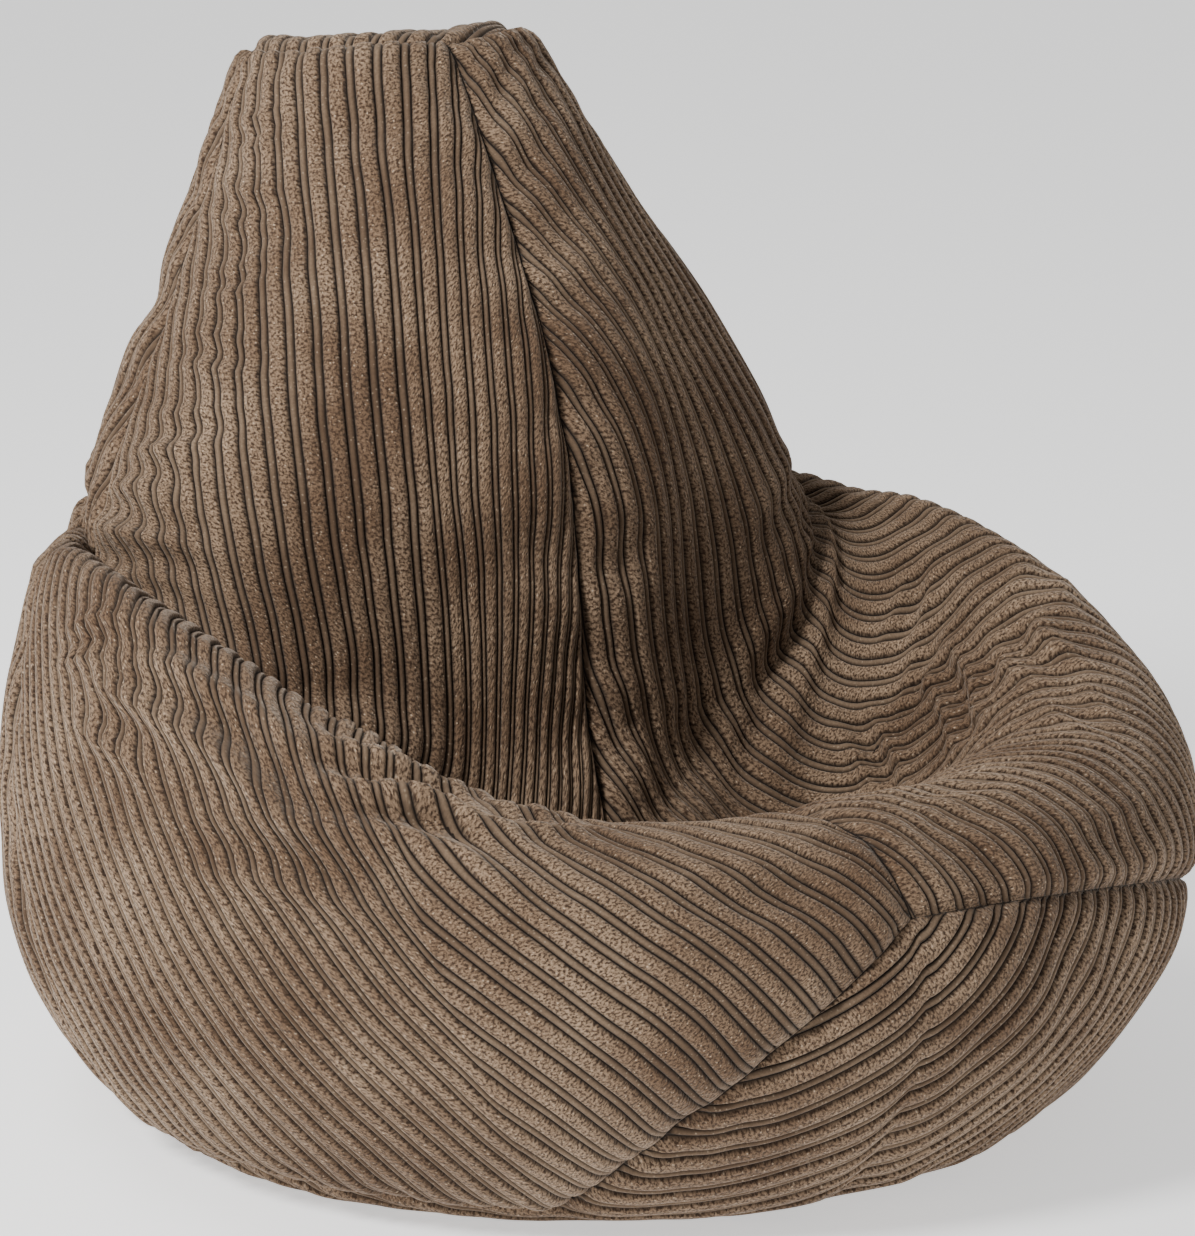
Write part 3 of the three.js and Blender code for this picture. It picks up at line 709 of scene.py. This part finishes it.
def round_trip(azimuth, v):
    """Where an azimuth lies round the bag, 0 to 4, at the cap seam (0) or base seam (1)."""
    edges = [along(seams[0], np.array([v]))[0] for seams in PANEL_SEAMS]
    edges.append(edges[0] + 360)
    turned = (azimuth - edges[0]) % 360 + edges[0]
    return np.interp(turned, edges, range(5))


# ---------------------------------------------------------------- meshes and materials
def new_mesh(name, points, faces):
    """An object from points in mm, with its faces smooth."""
    mesh = bpy.data.meshes.new(name)
    mesh.from_pydata((np.asarray(points) * MM).tolist(), [], faces)
    mesh.polygons.foreach_set("use_smooth", np.ones(len(mesh.polygons), bool))
    mesh.update()
    made = bpy.data.objects.new(name, mesh)
    bpy.context.scene.collection.objects.link(made)
    return made


def ribbed_object(name, points, faces, place, down, height):
    """A sheet with what its material reads: place in the cloth, rib height and wide ribs."""
    made = new_mesh(name, points, faces)
    mesh = made.data
    corner = np.empty(len(mesh.loops), np.int32)
    mesh.loops.foreach_get("vertex_index", corner)
    layer = mesh.uv_layers.new(name="cloth")
    layer.data.foreach_set("uv", (np.stack([place, down], -1)[corner] * MM).ravel())
    rib = mesh.attributes.new("rib", "FLOAT", "POINT")
    rib.data.foreach_set("value", (height / RIB_SHAPE[:, 1].max()).astype(np.float32))
    wide = mesh.attributes.new("wide", "FLOAT", "POINT")
    wide.data.foreach_set("value", (place % RIB_PERIOD <= WIDE_RIB_WIDTH + 0.01).astype(np.float32))
    return made


def linear(hex_colour, alpha=1.0):
    """sRGB hex to the linear colour that a socket takes."""
    parts = [int(hex_colour[i:i + 2], 16) / 255 for i in (1, 3, 5)]
    return tuple(c / 12.92 if c <= 0.04045 else ((c + 0.055) / 1.055) ** 2.4 for c in parts) + (alpha,)


def new_material(name, colour, roughness, **sockets):
    """A material and its shader, with constants set on the shader's own sockets."""
    material = bpy.data.materials.new(name)
    material.use_nodes = True
    shader = material.node_tree.nodes["Principled BSDF"]
    shader.inputs["Base Color"].default_value = linear(colour)
    shader.inputs["Roughness"].default_value = roughness
    for socket, value in sockets.items():
        shader.inputs[socket.replace("_", " ")].default_value = value
    material.diffuse_color = linear(colour)
    return material, shader


def add(tree, kind, inputs=None, **options):
    """Adds a node; its inputs are values or other nodes' sockets."""
    node = tree.nodes.new(kind)
    for option, value in options.items():
        setattr(node, option, value)
    for socket, value in (inputs or {}).items():
        if isinstance(value, bpy.types.NodeSocket):
            tree.links.new(value, node.inputs[socket])
        else:
            node.inputs[socket].default_value = value
    return node


def mix(tree, factor, a, b):
    """Colour between a and b. The node keeps its colours in sockets 6, 7 and 2."""
    node = add(tree, "ShaderNodeMix", {"Factor": factor}, data_type="RGBA")
    for index, value in ((6, a), (7, b)):
        if isinstance(value, bpy.types.NodeSocket):
            tree.links.new(value, node.inputs[index])
        else:
            node.inputs[index].default_value = value
    return node.outputs[2]


def remap(tree, value, low, high, to_low=0.0, to_high=1.0):
    return add(tree, "ShaderNodeMapRange", {"Value": value, "From Min": low, "From Max": high,
                                            "To Min": to_low, "To Max": to_high}).outputs["Result"]


def corduroy(settings):
    """Cotton corduroy: matt cut pile that glows softly at a slant, with painted shade in its grooves and
    between its tufts, and painted highlights on its tufts.
    """
    material, shader = new_material("cotton_corduroy", "#8A7562", 0.92, Sheen_Weight=0.35,
                                    Sheen_Roughness=0.45, Specular_IOR_Level=0.25)
    tree = material.node_tree
    shader.inputs["Sheen Tint"].default_value = linear("#D8CCBE")
    rib = add(tree, "ShaderNodeAttribute", attribute_name="rib").outputs["Fac"]
    wide = add(tree, "ShaderNodeAttribute", attribute_name="wide").outputs["Fac"]
    cloth = add(tree, "ShaderNodeUVMap", uv_map="cloth").outputs["UV"]
    body = add(tree, "ShaderNodeTexCoord").outputs["Object"]
    tufts = add(tree, "ShaderNodeTexNoise", {"Vector": cloth, "Scale": 430.0, "Detail": 3.0,
                                             "Roughness": 0.6}).outputs["Fac"]
    clumps = add(tree, "ShaderNodeTexVoronoi", {"Vector": cloth, "Scale": 260.0},
                 feature="F1").outputs["Distance"]
    patches = add(tree, "ShaderNodeTexNoise", {"Vector": body, "Scale": 9.0, "Detail": 3.0,
                                               "Roughness": 0.6}).outputs["Fac"]
    # Painted shade: dark specks from noise, for the shade in the gaps between tufts, fewer on the narrow
    # ribs.
    painted_gap_shade_mask = add(tree, "ShaderNodeMath", {0: remap(tree, tufts, 0.42, 0.60),
                                           1: remap(tree, wide, 0, 1, 0.25, 1.0)},
                  operation="MULTIPLY").outputs[0]
    top = mix(tree, remap(tree, patches, 0.35, 0.68), tuple(settings.pile_colour_dark),
              tuple(settings.pile_colour))
    # Painted highlight: light flecks at the clumps' cells, for tufts that catch the light.
    painted_highlight_mask = remap(tree, clumps, 0.25, 0.05)
    lit = mix(tree, painted_highlight_mask, top, tuple(settings.painted_highlight_colour))
    pile = mix(tree, painted_gap_shade_mask, lit, tuple(settings.painted_gap_shade_colour))
    # Painted shade: by rib height, the grooves and the low sides of the ribs take the near-black groove
    # colour.
    depth = remap(tree, rib, 0.12, 0.82)
    colour = mix(tree, depth, tuple(settings.painted_groove_shade_colour), pile)
    tree.links.new(colour, shader.inputs["Base Color"])
    grain = add(tree, "ShaderNodeMath", {0: tufts, 1: clumps}, operation="ADD").outputs[0]
    rise = add(tree, "ShaderNodeMath", {0: grain, 1: remap(tree, wide, 0, 1, 0.35, 1.0)},
               operation="MULTIPLY").outputs[0]
    bump = add(tree, "ShaderNodeBump", {"Strength": 0.9, "Distance": 1.1 * MM, "Height": rise})
    tree.links.new(bump.outputs["Normal"], shader.inputs["Normal"])
    return material


def woven(name, colour, threads_per_metre, roughness):
    """Plain woven cloth or tape: fine threads both ways, so that it looks flat and dull."""
    material, shader = new_material(name, colour, roughness, Specular_IOR_Level=0.3)
    tree = material.node_tree
    body = add(tree, "ShaderNodeTexCoord").outputs["Object"]
    waves = [add(tree, "ShaderNodeTexWave", {"Vector": body, "Scale": threads_per_metre / 20},
                 wave_type="BANDS", bands_direction=way).outputs["Fac"] for way in ("X", "Y")]
    cross = add(tree, "ShaderNodeMath", {0: waves[0], 1: waves[1]}, operation="MAXIMUM").outputs[0]
    bump = add(tree, "ShaderNodeBump", {"Strength": 0.6, "Distance": 0.15 * MM, "Height": cross})
    tree.links.new(bump.outputs["Normal"], shader.inputs["Normal"])
    return material


def beads_material():
    """Expanded polystyrene: white foam that lets a little light in, in bead-sized bumps."""
    material, shader = new_material("expanded_polystyrene", "#F2F0EA", 0.6,
                                    Subsurface_Weight=0.2, Subsurface_Scale=2 * MM)
    tree = material.node_tree
    body = add(tree, "ShaderNodeTexCoord").outputs["Object"]
    cells = add(tree, "ShaderNodeTexVoronoi", {"Vector": body, "Scale": 240.0}).outputs["Distance"]
    bump = add(tree, "ShaderNodeBump", {"Strength": 1.0, "Distance": 1.6 * MM, "Height": cells},
               invert=True)
    tree.links.new(bump.outputs["Normal"], shader.inputs["Normal"])
    return material


def give(made, material, body, nodes, fill=None):
    """Sets a piece's material and its body, and hides the CAD nodes it stands for. How full it is (fill)
    is not used.
    """
    made.data.materials.clear()
    made.data.materials.append(material)
    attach(made, body)
    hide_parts(*nodes)
    return made


# ---------------------------------------------------------------- zips and inner pieces
def cad_copy(node, name):
    """A copy of a CAD piece, to be finished further. The CAD piece itself stays as it is."""
    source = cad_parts[node]
    made = bpy.data.objects.new(name, source.data.copy())
    bpy.context.scene.collection.objects.link(made)
    return made


def round_off(made, width, segments, angle=30):
    """Rounds the edges of a hard piece."""
    net = bmesh.new()
    net.from_mesh(made.data)
    bmesh.ops.remove_doubles(net, verts=net.verts, dist=0.01 * MM)
    bmesh.ops.dissolve_limit(net, angle_limit=math.radians(1), verts=net.verts, edges=net.edges)
    edges = [e for e in net.edges if e.is_manifold and e.calc_face_angle() > math.radians(angle)]
    bmesh.ops.bevel(net, geom=edges, offset=width, segments=segments, profile=0.5,
                    affect="EDGES", clamp_overlap=True)
    net.to_mesh(made.data)
    net.free()
    for polygon in made.data.polygons:
        polygon.use_smooth = True
    made.data.set_sharp_from_angle(angle=math.radians(50))
    return made


LINER_SEAM_ROW = LAYER_GRID[1] + 60               # the liner's halves meet along this row
LINER_SEAM_GAP = 0.006           # half the gap at the liner's seam, in hoops


def inner_rings(rows, depth, floor, seed, dent, step=0.0):
    """Rings of a layer inside the cover, crumpled inwards; step parts it from its neighbour."""
    azimuth, hoop = (grid[rows] for grid in whole_bag(*LAYER_GRID))
    hoop = hoop + step * (np.array(rows) == LINER_SEAM_ROW)[:, None]
    point, normal = skin(azimuth, hoop), skin_normal(azimuth, hoop)
    point = point - normal * (depth + dent * (0.5 + 0.5 * lumps(point, 21, seed)))[..., None]
    point[..., 2] = np.maximum(point[..., 2], floor)
    return point


def liner_half(name, upper):
    """The liner above or below its seam: a closed double layer."""
    last = sum(LAYER_GRID[1:])
    rows = list(range(0, LINER_SEAM_ROW + 1)) if upper else list(range(last, LINER_SEAM_ROW - 1, -1))
    step = -LINER_SEAM_GAP if upper else LINER_SEAM_GAP
    outer = inner_rings(rows, LINER_DEPTH, LINER_FLOOR, 41, 0.5, step)
    inner = inner_rings(rows, LINER_DEPTH + LINER_THICKNESS, LINER_FLOOR + LINER_THICKNESS,
                        41, 0.4, step)
    first, second = (outer, inner) if upper else (inner, outer)
    points, faces, _ = ring_mesh(np.concatenate([first, second[::-1]]))
    return new_mesh(name, points, faces)


STOP_EDGE = 0.35 * MM            # rounding of the pressed stops
COIL_WIRE = 0.85                 # thickness of the coil's wire, mm
COIL_END = 1.1                   # bare tape between a coil's last loop and its end, mm
# The loops reach this far past their CAD bar, in mm, so that the two rows meet. Inside a
# slider they overlap it; at 0 they don't.
COIL_REACH = 0.95


def tooth_mesh(name, width, height):
    """One loop of the coil: wire bent into a flat oval that leans a little along the row."""
    around, thick, wire = 12, 5, COIL_WIRE
    points, faces = [], []
    for i in range(around):
        a = 2 * math.pi * i / around
        for j in range(thick):
            b = 2 * math.pi * j / thick
            out = wire / 2 * math.cos(b)
            points.append((wire / 2 * math.sin(b) + 0.25 * math.cos(a),
                           (width / 2 - wire / 2 + out) * math.cos(a),
                           (height / 2 - wire / 2 + out) * math.sin(a)))
            k, m = (i + 1) % around, (j + 1) % thick
            faces.append((i * thick + j, k * thick + j, k * thick + m, i * thick + m))
    return new_mesh(name, points, faces)


def coil_tree(material):
    """Sets copies of one tooth in a row along x."""
    tree = bpy.data.node_groups.new("coil_row", "GeometryNodeTree")
    for name, kind, direction in (("Tooth", "NodeSocketGeometry", "INPUT"),
                                  ("Count", "NodeSocketInt", "INPUT"),
                                  ("Start", "NodeSocketVector", "INPUT"),
                                  ("Pitch", "NodeSocketVector", "INPUT"),
                                  ("Row", "NodeSocketGeometry", "OUTPUT")):
        tree.interface.new_socket(name=name, in_out=direction, socket_type=kind)
    source = add(tree, "NodeGroupInput")
    line = add(tree, "GeometryNodeMeshLine", {"Count": source.outputs["Count"],
                                              "Start Location": source.outputs["Start"],
                                              "Offset": source.outputs["Pitch"]})
    copies = add(tree, "GeometryNodeInstanceOnPoints", {"Points": line.outputs["Mesh"],
                                                        "Instance": source.outputs["Tooth"]})
    real = add(tree, "GeometryNodeRealizeInstances", {"Geometry": copies.outputs["Instances"]})
    painted = add(tree, "GeometryNodeSetMaterial", {"Geometry": real.outputs["Geometry"],
                                                    "Material": material})
    add(tree, "NodeGroupOutput", {"Row": painted.outputs["Geometry"]})
    return tree


def coil(node, tree, pitch):
    """The row of teeth on one side of a zip, from the size of its CAD piece."""
    low, high = (np.array(corner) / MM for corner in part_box(node))
    rear = node.endswith("rear")
    low[1], high[1] = (low[1] - COIL_REACH, high[1]) if rear else (low[1], high[1] + COIL_REACH)
    width, height = high[1] - low[1], high[2] - low[2]
    name = "woven_" + node
    made = tooth_mesh(name, width, height)
    count = int((high[0] - low[0] - 2 * COIL_END) / pitch) + 1
    shift = pitch / 4 if rear else -pitch / 4     # the two rows stand between each other
    start = np.array([(low[0] + high[0]) / 2 - (count - 1) * pitch / 2 + shift,
                      (low[1] + high[1]) / 2, (low[2] + high[2]) / 2]) * MM
    modifier = made.modifiers.new("teeth", "NODES")
    modifier.node_group = tree
    values = {"Count": count, "Start": tuple(start), "Pitch": (pitch * MM, 0, 0)}
    for item in tree.interface.items_tree:
        if item.in_out == "INPUT" and item.name in values:
            modifier[item.identifier] = values[item.name]
    made.update_tag()
    graph = bpy.context.evaluated_depsgraph_get()
    mesh = bpy.data.meshes.new_from_object(made.evaluated_get(graph), depsgraph=graph)
    made.modifiers.clear()
    made.data = mesh
    made.data.name = name
    for polygon in mesh.polygons:
        polygon.use_smooth = True
    return made


def hem(side):
    """The rolled hem along one edge of the opening over the zip."""
    across = [(13.4, 0.6), (13.0, 2.0), (13.0, 6.2), (13.6, 7.5), (14.6, 7.9), (15.4, 7.4),
              (15.9, 6.2), (15.9, 2.0), (15.5, 0.6), (14.5, 0.2)]
    stations = np.linspace(-SLOT_HALF_LENGTH, SLOT_HALF_LENGTH, 124)
    points = [(x, side * (y + 0.05 * math.sin(x * 0.9)), z + 0.12 * math.sin(x * 0.45))
              for x in stations for y, z in across]
    n = len(across)
    faces = []
    for i in range(len(stations) - 1):
        for j in range(n):
            a, b = i * n + j, i * n + (j + 1) % n
            face = (a, b, b + n, a + n)
            faces.append(face if side < 0 else face[::-1])
    ends = (tuple(range(n)), tuple(range(len(points) - n, len(points))))
    faces.append(ends[0][::-1] if side < 0 else ends[0])
    faces.append(ends[1] if side < 0 else ends[1][::-1])
    return points, faces


# ---------------------------------------------------------------- settings and operators
def colour_setting(name, description, hex_colour):
    """A colour that the user can pick."""
    return bpy.props.FloatVectorProperty(name=name, description=description, subtype="COLOR",
                                         size=4, min=0, max=1, default=linear(hex_colour))


class BeanBagSettings(bpy.types.PropertyGroup):
    pile_colour: colour_setting("Pile", "Colour of the raised pile", "#9B836B")
    pile_colour_dark: colour_setting("Pile, shaded", "Colour of pile that lies flat", "#6C5541")
    # Painted shade in the gaps between tufts.
    painted_gap_shade_colour: colour_setting("Painted gap shade", "Colour of the gaps between tufts", "#3C2B1E")
    # Painted highlight on tufts that catch the light.
    painted_highlight_colour: colour_setting("Painted highlights", "Colour of tufts that catch the light", "#BDA78E")
    # Painted shade in the grooves between the ribs.
    painted_groove_shade_colour: colour_setting("Painted groove shade", "Colour between the ribs", "#140B06")
    fullness: bpy.props.FloatProperty(
        name="Fullness", description="How tightly the cover is stuffed", default=0.85,
        min=0, max=1, subtype="FACTOR")
    coil_pitch: bpy.props.FloatProperty(
        name="Coil pitch", description="Distance between the loops of a zip's coil",
        default=1.6 * MM, min=1.0 * MM, max=4.0 * MM, precision=4, unit="LENGTH")
    metal_edge: bpy.props.FloatProperty(
        name="Edge radius", description="Rounding of the zips' sliders, pull and tapes",
        default=0.3 * MM, min=0.1 * MM, max=0.5 * MM, precision=5, unit="LENGTH")


class BEANBAG_OT_press(bpy.types.Operator):
    """Settles the bag's skin under pressure"""
    bl_idname = "beanbag.press"
    bl_label = "Settle the Cloth"

    def execute(self, context):
        Shape.field = simulate()
        return {"FINISHED"}


class BEANBAG_OT_panels(bpy.types.Operator):
    """Builds the four side panels"""
    bl_idname = "beanbag.panels"
    bl_label = "Side Panels"

    def execute(self, context):
        settings = context.scene.bean_bag
        for index, name in enumerate(PANELS):
            made = ribbed_object("sewn_" + name, *panel_sheet(index, name))
            give(made, cover_material(settings), "bag", [name], settings.fullness)
        return {"FINISHED"}


def cover_material(settings):
    """One corduroy for all pieces of the cover."""
    return bpy.data.materials.get("cotton_corduroy") or corduroy(settings)


class BEANBAG_OT_cap(bpy.types.Operator):
    """Builds the round cap"""
    bl_idname = "beanbag.cap"
    bl_label = "Cap"

    def execute(self, context):
        settings = context.scene.bean_bag
        sheet = round_sheet(0, lambda azimuth: np.full(np.shape(azimuth), CAP_HOOP),
                            CAP_RIB_ANGLE, CAP_ROW_STEP)
        made = ribbed_object("sewn_top_cap", *sheet)
        give(made, cover_material(settings), "bag", ["top_cap"], settings.fullness)
        return {"FINISHED"}


class BEANBAG_OT_base(bpy.types.Operator):
    """Builds the two halves of the base, with the opening over the zip between them"""
    bl_idname = "beanbag.base"
    bl_label = "Base"

    def execute(self, context):
        settings = context.scene.bean_bag
        hem_edge = SLOT_HALF_WIDTH + HEM_WIDTH
        for name, side in (("base_front", -1), ("base_rear", 1)):
            def keep(point, side=side):
                beside_slot = np.abs(point[..., 0]) < SLOT_HALF_LENGTH + HEM_LENGTH
                return side * point[..., 1] - np.where(beside_slot, hem_edge, BASE_HALF_GAP)

            points, faces, place, down, height = round_sheet(
                LAST_HOOP, base_seam_hoop, BASE_RIB_ANGLE, ROW_STEP, keep)
            hem_points, hem_faces = hem(side)
            faces += [tuple(len(points) + i for i in face) for face in hem_faces]
            extra = np.array(hem_points)
            points = np.concatenate([points, extra])
            place = np.concatenate([place, extra[:, 1] + extra[:, 2]])
            down = np.concatenate([down, extra[:, 0]])
            height = np.concatenate([height, np.full(len(extra), 2.4)])
            made = ribbed_object("sewn_" + name, points, faces, place, down, height)
            give(made, cover_material(settings), "bag", [name], settings.fullness)
        return {"FINISHED"}


class BEANBAG_OT_inside(bpy.types.Operator):
    """Builds the liner and the beads in it"""
    bl_idname = "beanbag.inside"
    bl_label = "Liner and Beads"

    def execute(self, context):
        fullness = context.scene.bean_bag.fullness
        # Polyester lining: thin, smooth and faintly shiny.
        cloth = woven("polyester_lining", "#5E554C", 2200, 0.7)
        for node, upper in (("liner_upper", True), ("liner_lower", False)):
            give(liner_half("sewn_" + node, upper), cloth, "bag", [node], fullness)
        rows = list(range(sum(LAYER_GRID[1:]) + 1))
        points, faces, _ = ring_mesh(inner_rings(rows, BEAD_DEPTH, BEAD_FLOOR, 43, 1.8))
        made = new_mesh("packed_beads", points, faces)
        give(made, beads_material(), "bag", ["bead_fill"], fullness)
        return {"FINISHED"}


class BEANBAG_OT_zips(bpy.types.Operator):
    """Builds the cover's zip and the liner's zip"""
    bl_idname = "beanbag.zips"
    bl_label = "Zips"

    def execute(self, context):
        settings = context.scene.bean_bag
        # Polyester tape: close, dull weave. Polyester coil: drawn wire with a soft shine.
        tape = woven("polyester_zip_tape", "#5B4B3E", 1800, 0.75)
        teeth, _ = new_material("polyester_coil", "#4C3E33", 0.4)
        # Zinc-plated alloy: grey metal with blurred reflections.
        metal, _ = new_material("zinc_plated_alloy", "#8F8D88", 0.32, Metallic=1.0)
        row = coil_tree(teeth)
        for zip_name, slider_body in (("cover_zip", "cover_slider"), ("liner_zip", "liner_slider")):
            for side in ("front", "rear"):
                node = f"{zip_name}_tape_{side}"
                made = round_off(cad_copy(node, "woven_" + node), settings.metal_edge, 2)
                give(made, tape, "bag", [node])
                node = f"{zip_name}_coil_{side}"
                give(coil(node, row, settings.coil_pitch / MM), teeth, "bag", [node])
            for end in ("closed", "open"):
                node = f"{zip_name}_stop_{end}"
                made = round_off(cad_copy(node, "pressed_" + node), STOP_EDGE, 3)
                give(made, metal, "bag", [node])
            node = zip_name + "_slider"
            made = round_off(cad_copy(node, "cast_" + node), settings.metal_edge, 3)
            give(made, metal, slider_body, [node])
        made = round_off(cad_copy("cover_zip_pull", "cast_cover_zip_pull"), settings.metal_edge, 3)
        give(made, metal, "cover_pull", ["cover_zip_pull"])
        return {"FINISHED"}


CAMERA_AZIMUTH, CAMERA_ELEVATION, CAMERA_DISTANCE, CAMERA_AIM = -35.0, 15.0, 4.0, 0.356
CAMERA_LENS = 146.6
FLOOR_HALF = 9000                # mm
WORLD_LIGHT, FLOOR_GLOW = 0.38, 0.8
LIGHT_AIM = 0.35                 # height that the lights point at, m
# Name, place and width in metres, and power in watts.
LIGHTS = [("key", (-3.0, -0.5, 2.9), 1.0, 182.0), ("fill", (2.6, -2.6, 1.6), 2.2, 1.5),
          ("top", (-0.9, 1.2, 3.2), 1.4, 30.0)]


class BEANBAG_OT_stage(bpy.types.Operator):
    """Sets up the floor, the lights and the camera"""
    bl_idname = "beanbag.stage"
    bl_label = "Stage"

    def execute(self, context):
        scene = context.scene
        f = FLOOR_HALF
        floor = new_mesh("floor", [(-f, -f, 0), (f, -f, 0), (f, f, 0), (-f, f, 0)], [(0, 1, 2, 3)])
        # Matt paper: plain and pale, with no reflection.
        paper, shader = new_material("matt_paper", "#F7F7F6", 0.9, Emission_Strength=FLOOR_GLOW)
        shader.inputs["Emission Color"].default_value = linear("#FFFFFF")
        floor.data.materials.append(paper)
        world = bpy.data.worlds.new("studio")
        world.use_nodes = True
        world.node_tree.nodes["Background"].inputs["Color"].default_value = linear("#FFFFFF")
        world.node_tree.nodes["Background"].inputs["Strength"].default_value = WORLD_LIGHT
        scene.world = world
        for name, place, size, power in LIGHTS:
            lamp = bpy.data.lights.new(name, "AREA")
            lamp.shape = "DISK"
            lamp.size, lamp.energy = size, power
            made = bpy.data.objects.new(name, lamp)
            scene.collection.objects.link(made)
            made.location = place
            aim = Vector((0, 0, LIGHT_AIM)) - made.location
            made.rotation_euler = aim.to_track_quat("-Z", "Y").to_euler()
        a, e = math.radians(CAMERA_AZIMUTH), math.radians(CAMERA_ELEVATION)
        back = Vector((math.sin(a) * math.cos(e), -math.cos(a) * math.cos(e), math.sin(e)))
        up = Vector((-math.sin(a) * math.sin(e), math.cos(a) * math.sin(e), math.cos(e)))
        camera = bpy.data.objects.new("camera", bpy.data.cameras.new("camera"))
        scene.collection.objects.link(camera)
        camera.location = up * CAMERA_AIM + back * CAMERA_DISTANCE
        camera.rotation_euler = (-back).to_track_quat("-Z", "Y").to_euler()
        camera.data.lens, camera.data.sensor_width = CAMERA_LENS, 36.0
        camera.data.dof.use_dof = False
        scene.camera = camera
        return {"FINISHED"}


OPERATORS = (BEANBAG_OT_press, BEANBAG_OT_panels, BEANBAG_OT_cap, BEANBAG_OT_base,
             BEANBAG_OT_inside, BEANBAG_OT_zips, BEANBAG_OT_stage)


class BEANBAG_PT_panel(bpy.types.Panel):
    bl_label = "Bean Bag Chair"
    bl_idname = "BEANBAG_PT_panel"
    bl_space_type = "VIEW_3D"
    bl_region_type = "UI"
    bl_category = "Bean Bag"

    def draw(self, context):
        for name in BeanBagSettings.__annotations__:
            self.layout.prop(context.scene.bean_bag, name)
        for operator in OPERATORS:
            self.layout.operator(operator.bl_idname)


CLASSES = (BeanBagSettings, *OPERATORS, BEANBAG_PT_panel)


def register():
    for item in CLASSES:
        bpy.utils.register_class(item)
    bpy.types.Scene.bean_bag = bpy.props.PointerProperty(type=BeanBagSettings)


def unregister():
    del bpy.types.Scene.bean_bag
    for item in reversed(CLASSES):
        bpy.utils.unregister_class(item)


def main():
    register()
    for operator in OPERATORS:
        group, name = operator.bl_idname.split(".")
        getattr(getattr(bpy.ops, group), name)()


if __name__ == "__main__":
    main()
